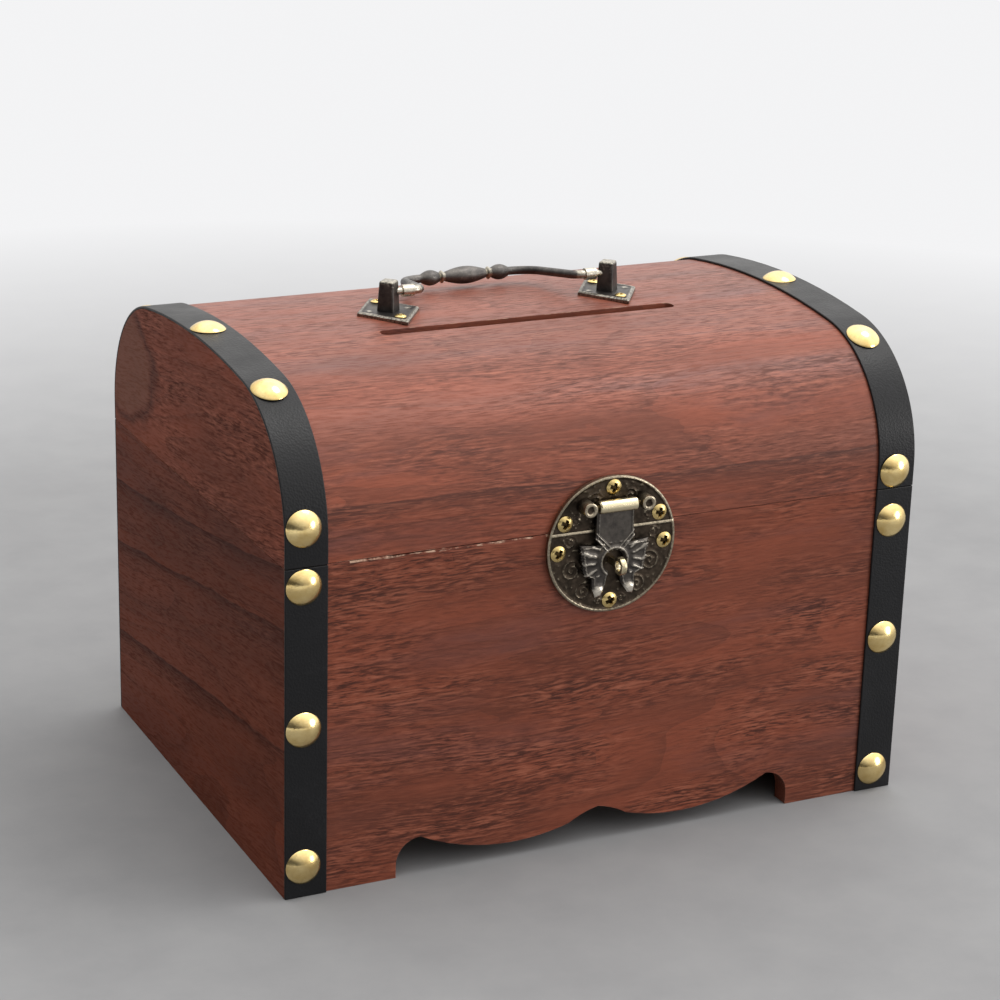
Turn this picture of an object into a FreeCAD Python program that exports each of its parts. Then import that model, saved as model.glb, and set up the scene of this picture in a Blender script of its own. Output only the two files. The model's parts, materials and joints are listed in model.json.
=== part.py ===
import FreeCAD, Part
import math
import os

import Sketcher
from FreeCAD import Placement, Rotation, Vector

# A chest-shaped wooden money box: a boarded base, an arched lid with a coin slot, black straps with
# domed tacks, a round latch with a hasp, a carrying handle and two hinges at the back.
# Millimetres. X runs along the box, Y to the back, Z up. The origin is on the floor, in the middle of
# the whole box with its fittings.

doc = FreeCAD.newDocument("money_box")

# Driving dimensions
SIZES = (
    ("box_width", 200, "length of the box, end to end"),
    ("box_depth", 146, "depth of the timber, front to back"),
    ("timber_y", 2.65, "middle of the timber: the staple reaches further out than the rear tacks"),
    ("seam_height", 98, "height of the joint between base and lid"),
    ("seam_gap", 0.1, "gap left at that joint"),
    ("end_board", 8, "thickness of the side boards and lid ends"),
    ("wall_board", 6, "thickness of the front and back boards"),
    ("bottom_board", 4, "thickness of the bottom board"),
    ("bottom_height", 14, "underside of the bottom board above the floor"),
    ("shell_board", 4, "thickness of the bent lid board"),
    ("arch_spring", 104.4, "height at which the lid's wall starts to curve"),
    ("arch_radius", 37.5, "radius of the lid's shoulders"),
    ("arch_sweep", 82, "angle that each shoulder turns through"),
    ("apron_x", -1.6, "middle of the apron, off the middle of the box"),
    ("foot_inner", 64.4, "inner edge of the feet from the middle of the apron"),
    ("cove_height", 11.6, "top of the cove beside each foot"),
    ("cove_radius", 7.5, "radius of that cove"),
    ("lobe_radius", 64, "radius of the hanging lobes"),
    ("peak_foot_x", 9.5, "where a lobe meets the middle peak"),
    ("peak_foot_height", 7.1, "height of that meeting point"),
    ("peak_height", 10.9, "height of the middle peak"),
    ("peak_radius", 28, "radius of the peak's two sides"),
    ("fittings_x", -1.5, "latch and handle sit this far off the middle"),
    ("slot_x", -0.2, "middle of the coin slot, off the middle of the box"),
    ("slot_length", 96, "length of the coin slot, over its round ends"),
    ("slot_width", 4.4, "width of the coin slot"),
    ("slot_y", -15.8, "middle of the coin slot, from the middle of the timber"),
    ("strap_width", 12.5, "width of the straps"),
    ("strap_thickness", 0.8, "thickness of the straps"),
    ("tack_radius", 5.2, "radius of a tack's dome"),
    ("tack_dome", 2.4, "height of a tack's dome"),
    ("tack_shank", 0.8, "radius of a tack's shank"),
    ("tack_length", 4.6, "length of a tack's shank"),
    ("left_tack_inset", 5.4, "tacks on the left straps, in from the end of the box"),
    ("right_tack_inset", 6.8, "tacks on the right straps, in from the end of the box"),
    ("left_tack_low", 9.4, "heights of the tacks on the left strap of the base"),
    ("left_tack_mid", 50.8, ""),
    ("left_tack_high", 92.5, ""),
    ("right_tack_low", 6.9, "heights of the tacks on the right strap of the base"),
    ("right_tack_mid", 50.4, ""),
    ("right_tack_high", 87.9, ""),
    ("left_arch_low", 83.2, "lean of the tacks on the front of the left lid strap, from upright"),
    ("left_arch_high", 18.5, ""),
    ("left_top_y", 1, "top tack on the left lid strap, from the middle"),
    ("right_arch_low", 91.5, "lean of the tacks on the front of the right lid strap, from upright"),
    ("right_arch_high", 25, ""),
    ("right_top_y", -3, "top tack on the right lid strap, from the middle"),
    ("rear_arch_low", 86, "lean of the tacks on the back of both lid straps"),
    ("rear_arch_high", 36, ""),
    ("latch_height", 92.9, "middle of the round latch plate"),
    ("latch_radius", 20.3, "radius of the latch plate"),
    ("latch_plate", 1, "thickness of the latch plates"),
    ("latch_rim", 0.8, "width of the raised rim on them"),
    ("latch_rim_rise", 0.5, "height of that rim"),
    ("latch_screw_ring", 16.9, "radius at which the latch screws sit"),
    ("latch_screw_rise", 27.3, "angle of the upper side screws above level"),
    ("latch_screw_drop", 3, "angle of the lower side screws below level"),
    ("hasp_axis_height", 105.3, "height of the pin that the hasp turns on"),
    ("hasp_axis_out", 3.9, "that pin, out from the timber"),
    ("hasp_post_x", 9.2, "the two posts that hold the pin, from the middle of the latch"),
    ("hasp_post_radius", 2.2, "radius of those posts"),
    ("hasp_post_length", 5.8, "posts, out from the timber"),
    ("hasp_post_dimple", 1.2, "radius of the hollow in the end of a post"),
    ("hasp_pin_radius", 0.8, "radius of the hasp pin"),
    ("hasp_pin_length", 19.4, "length of the hasp pin"),
    ("hasp_barrel_radius", 1.9, "radius of the hasp's barrel"),
    ("hasp_barrel_length", 12, "length of the hasp's barrel"),
    ("hasp_thickness", 1.2, "thickness of the hasp"),
    ("hasp_set_back", 1.8, "back of the hasp, behind the middle of its barrel"),
    ("hasp_eye_drop", 16.9, "middle of the hasp's eye, below the pin"),
    ("hasp_eye", 3.4, "radius of that eye"),
    ("hasp_mouth", 1.8, "half width of the gap below the eye"),
    ("running_gap", 0.05, "clearance round a turning pin"),
    ("staple_height", 88.2, "height of the padlock staple"),
    ("staple_thickness", 1.8, "thickness of the staple, along the box"),
    ("staple_stem", 1.1, "half the height of its stem"),
    ("staple_sink", 3, "stem inside the timber"),
    ("staple_out", 7, "middle of the eye, out from the timber"),
    ("staple_eye", 1.4, "radius of the eye's hole"),
    ("staple_ring", 2.6, "outer radius of the eye"),
    ("screw_head", 2.4, "radius of a latch screw's head"),
    ("screw_dome", 1.1, "height of a latch screw's head"),
    ("small_head", 1.8, "radius of a hinge or handle screw's head"),
    ("small_dome", 0.8, "height of a hinge or handle screw's head"),
    ("screw_shank", 0.9, "radius of a screw's shank"),
    ("screw_length", 4.2, "length of a screw's shank"),
    ("handle_y", 2.5, "handle posts, from the middle of the timber"),
    ("handle_spacing", 72.8, "distance between the two handle posts"),
    ("handle_plate", 1.2, "thickness of the diamond plates"),
    ("diamond_x", 10, "half of a diamond's short diagonal"),
    ("diamond_y", 14.5, "half of a diamond's long diagonal"),
    ("handle_screw_y", 9, "plate screws, from the middle of the diamond"),
    ("post_foot", 3.9, "half diagonal of a handle post at its foot"),
    ("post_head", 3.2, "half diagonal of a handle post at its head"),
    ("post_height", 10, "top of a handle post above the timber"),
    ("post_crown", 0.9, "rounding of the post's top"),
    ("pivot_height", 6.4, "height of the bail's pivots above the timber"),
    ("bail_rest", 8.5, "the bail lies back this far below level"),
    ("bail_reach", 25.5, "pivots to the crown of the bail"),
    ("bail_rod", 1.3, "radius of the bail's arms"),
    ("bail_pin", 1.1, "radius of the bail's pivots"),
    ("bail_crown", 14.9, "half length of the turned crown"),
    ("bail_shoulder", 8, "radius of the bend beside the crown"),
    ("bail_heel", 3, "radius of the bend beside a pivot"),
    ("bail_slope", 81, "angle of the arms to the crown"),
    ("bail_collar", 1.8, "radius of the collar beside a pivot"),
    ("bail_collar_end", 32.1, "outer face of that collar, from the middle"),
    ("bail_collar_length", 3.6, "length of that collar"),
    ("bail_pin_end", 38.4, "end of a pivot, from the middle"),
    ("bulb_radius", 2.75, "largest radius of the middle swelling"),
    ("bulb_half", 7.3, "half its length"),
    ("bead_radius", 2, "largest radius of the bead beside it"),
    ("bead_length", 1.2, "length of that bead"),
    ("side_bulb_radius", 2.4, "largest radius of the outer swelling"),
    ("hinge_x", 50, "hinges, from the middle of the box"),
    ("hinge_out", 2.3, "hinge pins, out from the timber"),
    ("hinge_half", 12.5, "half the length of a hinge"),
    ("knuckle_half", 6, "half the length of the middle knuckle"),
    ("knuckle_gap", 0.3, "gap beside the middle knuckle"),
    ("knuckle_radius", 2, "outer radius of the knuckles"),
    ("leaf_thickness", 1, "thickness of a leaf"),
    ("leaf_start", 2.6, "near edge of a leaf from the pin"),
    ("leaf_end", 10, "far edge of a leaf from the pin"),
    ("leaf_screw_x", 7.5, "leaf screws, from the middle of the hinge"),
    ("leaf_screw_z", 6.4, "leaf screws, from the pin"),
    ("hinge_pin_radius", 1, "radius of a hinge pin"),
    ("hinge_pin_cap", 1.6, "radius of its two caps"),
    ("hinge_pin_cap_length", 0.7, "length of a cap"),
)

sheet = doc.addObject("Spreadsheet::Sheet", "Sizes")
for row, (alias, value, meaning) in enumerate(SIZES, start=1):
    sheet.set(f"A{row}", meaning)
    sheet.set(f"B{row}", str(value))
    sheet.setAlias(f"B{row}", alias)
doc.recompute()


def size(alias):
    return float(sheet.get(alias))


# Words for the expressions that several pieces share
FRONT = "(Sizes.timber_y - Sizes.box_depth / 2)"
BACK = "(Sizes.timber_y + Sizes.box_depth / 2)"
BASE_TOP = "(Sizes.seam_height - Sizes.seam_gap / 2)"
LID_FOOT = "(Sizes.seam_height + Sizes.seam_gap / 2)"
END_X = "(Sizes.box_width / 2)"
INSIDE = "(Sizes.box_width - 2 * Sizes.end_board)"
SWEEP = "(Sizes.arch_sweep * 1 deg)"
SHOULDER = "(Sizes.box_depth / 2 - Sizes.arch_radius)"
TOP = f"(Sizes.arch_spring - {SHOULDER} * tan({SWEEP}) + Sizes.arch_radius + {SHOULDER} / cos({SWEEP}))"

pieces = []


def number(expression):
    return float(sheet.evalExpression(expression))


def place(piece, x="0", y="0", z="0"):
    for axis, expression in zip("xyz", (x, y, z)):
        piece.setExpression(f"Placement.Base.{axis}", expression)


def board(label, length, width, height, x, y, z):
    """A plain rectangular board or strap, with its lowest corner at x, y, z."""
    piece = doc.addObject("Part::Box", label)
    piece.setExpression("Length", length)
    piece.setExpression("Width", width)
    piece.setExpression("Height", height)
    place(piece, x, y, z)
    pieces.append(piece)
    return piece


def new_body(label, x="0", y="0", z="0"):
    body = doc.addObject("PartDesign::Body", label)
    place(body, x, y, z)
    return body


def origin_plane(body, role):
    return next(o for o in body.Origin.OriginFeatures if o.Role == role)


def new_sketch(body, role, offset=None):
    """A sketch on one of the body's origin planes, moved along that plane's normal by offset."""
    sketch = body.newObject("Sketcher::SketchObject", f"{body.Label}_{role}")
    sketch.AttachmentSupport = (origin_plane(body, role), [""])
    sketch.MapMode = "FlatFace"
    if offset is not None:
        sketch.setExpression("AttachmentOffset.Base.z", offset)
    return sketch


def fix_point(sketch, edge, end, x, y):
    """Hold one end of an edge at the position that two expressions give."""
    for kind, axis, expression in (("DistanceX", -2, x), ("DistanceY", -1, y)):
        if expression == "0":
            sketch.addConstraint(Sketcher.Constraint("PointOnObject", edge, end, axis))
            continue
        constraint = Sketcher.Constraint(kind, -1, 1, edge, end, number(expression))
        index = sketch.addConstraint(constraint)
        sketch.setExpression(f"Constraints[{index}]", expression)


def draw(sketch, corners, closed=True):
    """Lines and arcs from corner to corner. A corner is (x, y), or (x, y, radius) where the edge that
    leaves it is an arc of under a half circle, with a radius that starts with "-" if it turns right."""
    count = len(corners) if closed else len(corners) - 1
    for i in range(count):
        x, y = corners[i][:2]
        following = corners[(i + 1) % len(corners)]
        start = Vector(number(x), number(y), 0)
        stop = Vector(number(following[0]), number(following[1]), 0)
        if len(corners[i]) == 2:
            edge = sketch.addGeometry(Part.LineSegment(start, stop))
            first, last = 1, 2
        else:
            right = corners[i][2].startswith("-")
            radius = corners[i][2].lstrip("-")
            chord = stop - start
            reach = number(radius)
            aside = Vector(-chord.y, chord.x, 0).normalize() * (-1 if right else 1)
            centre = (start + stop) / 2 + aside * math.sqrt(max(reach**2 - chord.Length**2 / 4, 0))
            ends = (stop, start) if right else (start, stop)
            angles = [math.atan2(p.y - centre.y, p.x - centre.x) for p in ends]
            circle = Part.Circle(centre, Vector(0, 0, 1), reach)
            edge = sketch.addGeometry(Part.ArcOfCircle(circle, *angles))
            first, last = (2, 1) if right else (1, 2)
            index = sketch.addConstraint(Sketcher.Constraint("Radius", edge, reach))
            sketch.setExpression(f"Constraints[{index}]", radius)
        fix_point(sketch, edge, first, x, y)
        fix_point(sketch, edge, last, following[0], following[1])


def draw_circle(sketch, x, y, radius):
    circle = Part.Circle(Vector(number(x), number(y), 0), Vector(0, 0, 1), number(radius))
    edge = sketch.addGeometry(circle)
    index = sketch.addConstraint(Sketcher.Constraint("Radius", edge, number(radius)))
    sketch.setExpression(f"Constraints[{index}]", radius)
    fix_point(sketch, edge, 3, x, y)


def pad(body, sketch, length):
    feature = body.newObject("PartDesign::Pad", "Pad")
    feature.Profile = sketch
    feature.setExpression("Length", length)
    doc.recompute()
    return feature


def pocket(body, sketch, length, reverse=False):
    """Cut a sketch into the body against its normal, or along it, and make sure that it cut."""
    before = body.Shape.Volume
    feature = body.newObject("PartDesign::Pocket", "Pocket")
    feature.Profile = sketch
    feature.setExpression("Length", length)
    feature.Reversed = reverse
    doc.recompute()
    assert body.Shape.Volume < before, f"a pocket in {body.Label} cut nothing"
    return feature


def revolve(body, sketch, axis):
    feature = body.newObject("PartDesign::Revolution", "Revolution")
    feature.Profile = sketch
    feature.ReferenceAxis = (sketch, [axis])
    feature.Angle = 360
    doc.recompute()
    return feature


def arch(offset, left_to_right=True):
    """Corners of the lid's end outline, moved out by offset: wall, shoulder, crown, shoulder, wall."""
    radius = f"(Sizes.arch_radius + {offset})"
    crown = f"({radius} + {SHOULDER} / cos({SWEEP}))"
    half = f"({SHOULDER} + {radius})"
    meet_y = f"({SHOULDER} + {radius} * cos({SWEEP}))"
    meet_z = f"(Sizes.arch_spring + {radius} * sin({SWEEP}))"
    turn = "-" if left_to_right else ""
    side, other = ("-", "") if left_to_right else ("", "-")
    return [
        (side + half, LID_FOOT),
        (side + half, "Sizes.arch_spring", turn + radius),
        (side + meet_y, meet_z, turn + crown),
        (other + meet_y, meet_z, turn + radius),
        (other + half, "Sizes.arch_spring"),
        (other + half, LID_FOOT),
    ]


# Base: two side boards, with the front, back and bottom boards between them
board("left_side", "Sizes.end_board", "Sizes.box_depth", BASE_TOP, f"-{END_X}", FRONT, "0")
board("right_side", "Sizes.end_board", "Sizes.box_depth", BASE_TOP, f"{END_X} - Sizes.end_board", FRONT, "0")
board(
    "bottom_panel",
    INSIDE,
    "Sizes.box_depth - 2 * Sizes.wall_board",
    "Sizes.bottom_board",
    f"-{INSIDE} / 2",
    f"{FRONT} + Sizes.wall_board",
    "Sizes.bottom_height",
)


def apron_board(label, inner_face):
    """Front or back board, with the shaped cut between its feet."""
    body = new_body(label, y=inner_face)
    sketch = new_sketch(body, "XZ_Plane")
    cove_start = "Sizes.cove_height - Sizes.cove_radius"
    cove_end = "(Sizes.foot_inner - Sizes.cove_radius)"
    left = [
        (f"-{INSIDE} / 2", "0"),
        ("Sizes.apron_x - Sizes.foot_inner", "0"),
        ("Sizes.apron_x - Sizes.foot_inner", cove_start, "-Sizes.cove_radius"),
        (f"Sizes.apron_x - {cove_end}", "Sizes.cove_height", "Sizes.lobe_radius"),
        ("Sizes.apron_x - Sizes.peak_foot_x", "Sizes.peak_foot_height", "-Sizes.peak_radius"),
    ]
    right = [
        ("Sizes.apron_x", "Sizes.peak_height", "-Sizes.peak_radius"),
        ("Sizes.apron_x + Sizes.peak_foot_x", "Sizes.peak_foot_height", "Sizes.lobe_radius"),
        (f"Sizes.apron_x + {cove_end}", "Sizes.cove_height", "-Sizes.cove_radius"),
        ("Sizes.apron_x + Sizes.foot_inner", cove_start),
        ("Sizes.apron_x + Sizes.foot_inner", "0"),
        (f"{INSIDE} / 2", "0"),
    ]
    top = [(f"{INSIDE} / 2", BASE_TOP), (f"-{INSIDE} / 2", BASE_TOP)]
    draw(sketch, left + right + top)
    pad(body, sketch, "Sizes.wall_board")
    pieces.append(body)


apron_board("front_panel", f"{FRONT} + Sizes.wall_board")
apron_board("back_panel", BACK)


# Lid: two arched end boards and one bent board between them, with the coin slot
for label, x in (("lid_left_end", f"-{END_X}"), ("lid_right_end", f"{END_X} - Sizes.end_board")):
    lid_end = new_body(label, x, "Sizes.timber_y")
    outline = new_sketch(lid_end, "YZ_Plane")
    draw(outline, arch("0"))
    pad(lid_end, outline, "Sizes.end_board")
    pieces.append(lid_end)

lid_shell = new_body("lid_shell", f"-{INSIDE} / 2", "Sizes.timber_y")
outline = new_sketch(lid_shell, "YZ_Plane")
draw(outline, arch("0") + arch("-Sizes.shell_board", left_to_right=False))
pad(lid_shell, outline, INSIDE)
slot = new_sketch(lid_shell, "XY_Plane", "Sizes.arch_spring")
slot_middle = f"({INSIDE} / 2 + Sizes.slot_x)"
slot_round = "(Sizes.slot_width / 2)"
slot_ends = [f"{slot_middle} - Sizes.slot_length / 2", f"{slot_middle} + Sizes.slot_length / 2"]
slot_front, slot_back = f"Sizes.slot_y - {slot_round}", f"Sizes.slot_y + {slot_round}"
draw(
    slot,
    [
        (f"{slot_ends[0]} + {slot_round}", slot_front),
        (f"{slot_ends[1]} - {slot_round}", slot_front, slot_round),
        (slot_ends[1], "Sizes.slot_y", slot_round),
        (f"{slot_ends[1]} - {slot_round}", slot_back),
        (f"{slot_ends[0]} + {slot_round}", slot_back, slot_round),
        (slot_ends[0], "Sizes.slot_y", slot_round),
    ],
)
pocket(lid_shell, slot, "2 * Sizes.arch_radius", reverse=True)
pieces.append(lid_shell)


# Straps: on the front and back of the base, and over the lid, flush with the ends of the box
STRAP_X = {"left": f"-{END_X}", "right": f"{END_X} - Sizes.strap_width"}
for side, x in STRAP_X.items():
    for face, y in (("front", f"{FRONT} - Sizes.strap_thickness"), ("rear", BACK)):
        label = f"{face}_strap_{side}"
        board(label, "Sizes.strap_width", "Sizes.strap_thickness", BASE_TOP, x, y, "0")
    lid_strap = new_body(f"lid_strap_{side}", x, "Sizes.timber_y")
    outline = new_sketch(lid_strap, "YZ_Plane")
    draw(outline, arch("Sizes.strap_thickness") + arch("0", left_to_right=False))
    pad(lid_strap, outline, "Sizes.strap_width")
    pieces.append(lid_strap)


# Fasteners: a domed tack and two screws, each turned once and then set in groups
def turned_fastener(label, head, dome, shank, length):
    """A domed head on a plain shank, upright, with the underside of the head at the origin."""
    body = new_body(label)
    sketch = new_sketch(body, "XZ_Plane")
    sphere = f"(({head})^2 + ({dome})^2) / (2 * {dome})"
    corners = [
        ("0", f"-{length}"),
        (shank, f"-{length} + {shank}"),
        (shank, "0"),
        (head, "0", sphere),
        ("0", dome),
    ]
    draw(sketch, corners)
    revolve(body, sketch, "V_Axis")
    return body


TACK_SIZES = ("Sizes.tack_radius", "Sizes.tack_dome", "Sizes.tack_shank", "Sizes.tack_length")
SCREW_SIZES = ("Sizes.screw_head", "Sizes.screw_dome", "Sizes.screw_shank", "Sizes.screw_length")
SMALL_SIZES = ("Sizes.small_head", "Sizes.small_dome", "Sizes.screw_shank", "Sizes.screw_length")
tack = turned_fastener("tack", *TACK_SIZES)
latch_screw = turned_fastener("latch_screw", *SCREW_SIZES)
small_screw = turned_fastener("small_screw", *SMALL_SIZES)

FACING_FRONT = 90
FACING_BACK = -90
FACING_UP = 0


def group(label, fastener, places):
    """Copies of a fastener at (x, y, z, lean): lean tips its head from upright towards the front."""
    copies = []
    for i, (x, y, z, lean) in enumerate(places):
        copy = doc.addObject("App::Link", f"{label}_{i}")
        copy.LinkedObject = fastener
        copy.Placement = Placement(Vector(), Rotation(Vector(1, 0, 0), lean))
        place(copy, x, y, z)
        copies.append(copy)
    compound = doc.addObject("Part::Compound", label)
    compound.Links = copies
    pieces.append(compound)


def base_tack_places(y, lean):
    places = []
    for side, sign in (("left", "-"), ("right", "")):
        for level in ("low", "mid", "high"):
            x = f"{sign}({END_X} - Sizes.{side}_tack_inset)"
            places.append((x, y, f"Sizes.{side}_tack_{level}", lean))
    return places


def lid_tack_places(side, sign):
    """Five tacks over the arch: low and high on both shoulders, and one near the top."""
    x = f"{sign}({END_X} - Sizes.{side}_tack_inset)"
    radius = "(Sizes.arch_radius + Sizes.strap_thickness)"
    crown = f"({radius} + {SHOULDER} / cos({SWEEP}))"
    places = []
    for shoulder, towards, turn in ((side, "-", 1), ("rear", "+", -1)):
        for level in ("low", "high"):
            cell = f"{shoulder}_arch_{level}"
            lean = f"(Sizes.{cell} * 1 deg)"
            y = f"Sizes.timber_y {towards} ({SHOULDER} + {radius} * sin({lean}))"
            z = f"Sizes.arch_spring + {radius} * cos({lean})"
            places.append((x, y, z, turn * size(cell)))
    top_y = f"Sizes.{side}_top_y"
    top_z = f"{TOP} + Sizes.strap_thickness - {crown} + sqrt(({crown})^2 - ({top_y})^2)"
    lean = math.degrees(math.asin(-number(top_y) / number(crown)))
    places.append((x, f"Sizes.timber_y + {top_y}", top_z, lean))
    return places


group("front_tacks", tack, base_tack_places(f"{FRONT} - Sizes.strap_thickness", FACING_FRONT))
group("rear_tacks", tack, base_tack_places(f"{BACK} + Sizes.strap_thickness", FACING_BACK))
group("lid_tacks_left", tack, lid_tack_places("left", "-"))
group("lid_tacks_right", tack, lid_tack_places("right", ""))


# Latch: a round plate split at the seam
SPLIT = "(Sizes.seam_height - Sizes.latch_height)"
LOWER_CUT = f"({SPLIT} - Sizes.seam_gap / 2)"
UPPER_CUT = f"({SPLIT} + Sizes.seam_gap / 2)"
RING = "Sizes.latch_screw_ring"
RISE = "(Sizes.latch_screw_rise * 1 deg)"
DROP = "(Sizes.latch_screw_drop * 1 deg)"
UPPER_SCREWS = [
    ("0", RING),
    (f"-{RING} * cos({RISE})", f"{RING} * sin({RISE})"),
    (f"{RING} * cos({RISE})", f"{RING} * sin({RISE})"),
]
LOWER_SCREWS = [
    ("0", f"-{RING}"),
    (f"-{RING} * cos({DROP})", f"-{RING} * sin({DROP})"),
    (f"{RING} * cos({DROP})", f"-{RING} * sin({DROP})"),
]


def lower_half(inset):
    radius = f"(Sizes.latch_radius - {inset})"
    cut = f"({LOWER_CUT} - {inset})"
    half = f"sqrt({radius}^2 - {cut}^2)"
    return [(f"-{half}", cut, radius), ("0", f"-{radius}", radius), (half, cut)]


def upper_half(inset):
    radius = f"(Sizes.latch_radius - {inset})"
    half = f"sqrt({radius}^2 - {UPPER_CUT}^2)"
    return [(f"-{half}", UPPER_CUT), (half, UPPER_CUT, radius)]


def latch_half(label, outline, screws):
    body = new_body(label, "Sizes.fittings_x", FRONT, "Sizes.latch_height")
    plate = new_sketch(body, "XZ_Plane")
    draw(plate, outline)
    for x, z in screws:
        draw_circle(plate, x, z, "Sizes.screw_shank + Sizes.running_gap")
    pad(body, plate, "Sizes.latch_plate")
    pieces.append(body)
    return body


# The lower half has its rim all round, the upper half along its round edge only
RIM_TOP = "Sizes.latch_plate + Sizes.latch_rim_rise"
lower_plate = latch_half("latch_lower_plate", lower_half("0"), LOWER_SCREWS)
lower_rim = new_sketch(lower_plate, "XZ_Plane")
draw(lower_rim, lower_half("0"))
draw(lower_rim, lower_half("Sizes.latch_rim"))
pad(lower_plate, lower_rim, RIM_TOP)
stem_hole = new_sketch(lower_plate, "XZ_Plane")
stem_x = "(Sizes.staple_thickness / 2 + Sizes.running_gap)"
stem_z = "(Sizes.staple_height - Sizes.latch_height)"
stem_half = "(Sizes.staple_stem + Sizes.running_gap)"
draw(
    stem_hole,
    [
        (f"-{stem_x}", f"{stem_z} - {stem_half}"),
        (stem_x, f"{stem_z} - {stem_half}"),
        (stem_x, f"{stem_z} + {stem_half}"),
        (f"-{stem_x}", f"{stem_z} + {stem_half}"),
    ],
)
pocket(lower_plate, stem_hole, "2 * Sizes.latch_plate", reverse=True)

# The upper half carries two posts with hollow ends, which hold the hasp's pin
HASP_Z = "(Sizes.hasp_axis_height - Sizes.latch_height)"
upper_plate = latch_half("latch_upper_plate", upper_half("0"), UPPER_SCREWS)
outer_edge, inner_edge = upper_half("0"), upper_half("Sizes.latch_rim")
inner_radius = "-" + inner_edge[1][2]
upper_rim = new_sketch(upper_plate, "XZ_Plane")
draw(upper_rim, [outer_edge[1], outer_edge[0], inner_edge[0] + (inner_radius,), inner_edge[1][:2]])
pad(upper_plate, upper_rim, RIM_TOP)
posts = new_sketch(upper_plate, "XZ_Plane")
dimples = new_sketch(upper_plate, "XZ_Plane", "Sizes.hasp_post_length")
for x in ("-Sizes.hasp_post_x", "Sizes.hasp_post_x"):
    draw_circle(posts, x, HASP_Z, "Sizes.hasp_post_radius")
    draw_circle(dimples, x, HASP_Z, "Sizes.hasp_post_dimple")
pad(upper_plate, posts, "Sizes.hasp_post_length")
pocket(upper_plate, dimples, "Sizes.hasp_post_dimple / 2")
pin_hole = new_sketch(upper_plate, "YZ_Plane", "-Sizes.hasp_pin_length / 2")
draw_circle(pin_hole, "-Sizes.hasp_axis_out", HASP_Z, "Sizes.hasp_pin_radius")
pocket(upper_plate, pin_hole, "Sizes.hasp_pin_length", reverse=True)


def latch_places(screws):
    y = f"{FRONT} - Sizes.latch_plate"
    return [
        (f"Sizes.fittings_x + {x}", y, f"Sizes.latch_height + {z}", FACING_FRONT)
        for x, z in screws
    ]


group("latch_lower_screws", latch_screw, latch_places(LOWER_SCREWS))
group("latch_upper_screws", latch_screw, latch_places(UPPER_SCREWS))

hasp_pin = doc.addObject("Part::Cylinder", "hasp_pin")
hasp_pin.setExpression("Radius", "Sizes.hasp_pin_radius")
hasp_pin.setExpression("Height", "Sizes.hasp_pin_length")
hasp_pin.Placement = Placement(Vector(), Rotation(Vector(0, 1, 0), 90))
HASP_AXIS_Y = f"({FRONT} - Sizes.hasp_axis_out)"
place(hasp_pin, "Sizes.fittings_x - Sizes.hasp_pin_length / 2", HASP_AXIS_Y, "Sizes.hasp_axis_height")
pieces.append(hasp_pin)

# Hasp: a barrel on the pin and a flat casting below it, with two wings, two tails and an eye that is
# open between the tails, so that it lifts off the staple. The outline is the casting's right half,
# from the pin down to the eye: across from the middle, and down from the pin.
HASP_OUTLINE = (
    ("5.9", "0"),
    ("5.9", "-7.5"),
    ("6.2", "-10"),
    ("4.6", "-11.8"),
    ("11", "-11.2"),
    ("10.6", "-14.5"),
    ("9.6", "-20.2"),
    ("6.8", "-21.6"),
    ("6.8", "-24.6"),
    ("6", "-27"),
    ("4.3", "-26.6"),
    ("2.5", "-23.6"),
)
EYE = "Sizes.hasp_eye"
EYE_Z = "(-Sizes.hasp_eye_drop)"
MOUTH_Z = f"({EYE_Z} - sqrt({EYE}^2 - Sizes.hasp_mouth^2))"

hasp = new_body("hasp_flap", "Sizes.fittings_x", HASP_AXIS_Y, "Sizes.hasp_axis_height")
casting = new_sketch(hasp, "XZ_Plane", "-Sizes.hasp_set_back")
eye_arc = [
    ("Sizes.hasp_mouth", MOUTH_Z, EYE),
    (EYE, EYE_Z, EYE),
    ("0", f"{EYE_Z} + {EYE}", EYE),
    (f"-{EYE}", EYE_Z, EYE),
    ("-Sizes.hasp_mouth", MOUTH_Z),
]
left_half = [(f"-{x}", z) for x, z in reversed(HASP_OUTLINE)]
draw(casting, list(HASP_OUTLINE) + eye_arc + left_half)
pad(hasp, casting, "Sizes.hasp_thickness")
barrel = new_sketch(hasp, "YZ_Plane", "-Sizes.hasp_barrel_length / 2")
draw_circle(barrel, "0", "0", "Sizes.hasp_barrel_radius")
pad(hasp, barrel, "Sizes.hasp_barrel_length")
bore = new_sketch(hasp, "YZ_Plane", "-Sizes.hasp_barrel_length / 2")
draw_circle(bore, "0", "0", "Sizes.hasp_pin_radius + Sizes.running_gap")
pocket(hasp, bore, "Sizes.hasp_barrel_length", reverse=True)
pieces.append(hasp)

# Padlock staple: a flat eye on a stem that is driven through the lower plate into the front board
staple = new_body(
    "padlock_staple",
    "Sizes.fittings_x - Sizes.staple_thickness / 2",
    FRONT,
    "Sizes.staple_height",
)
eye = new_sketch(staple, "YZ_Plane")
EYE_Y = "-Sizes.staple_out"
NECK_Y = f"({EYE_Y} + sqrt(Sizes.staple_ring^2 - Sizes.staple_stem^2))"
draw(
    eye,
    [
        ("Sizes.staple_sink", "-Sizes.staple_stem"),
        ("Sizes.staple_sink", "Sizes.staple_stem"),
        (NECK_Y, "Sizes.staple_stem", "Sizes.staple_ring"),
        (EYE_Y, "Sizes.staple_ring", "Sizes.staple_ring"),
        (f"{EYE_Y} - Sizes.staple_ring", "0", "Sizes.staple_ring"),
        (EYE_Y, "-Sizes.staple_ring", "Sizes.staple_ring"),
        (NECK_Y, "-Sizes.staple_stem"),
    ],
)
draw_circle(eye, EYE_Y, "0", "Sizes.staple_eye")
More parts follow.
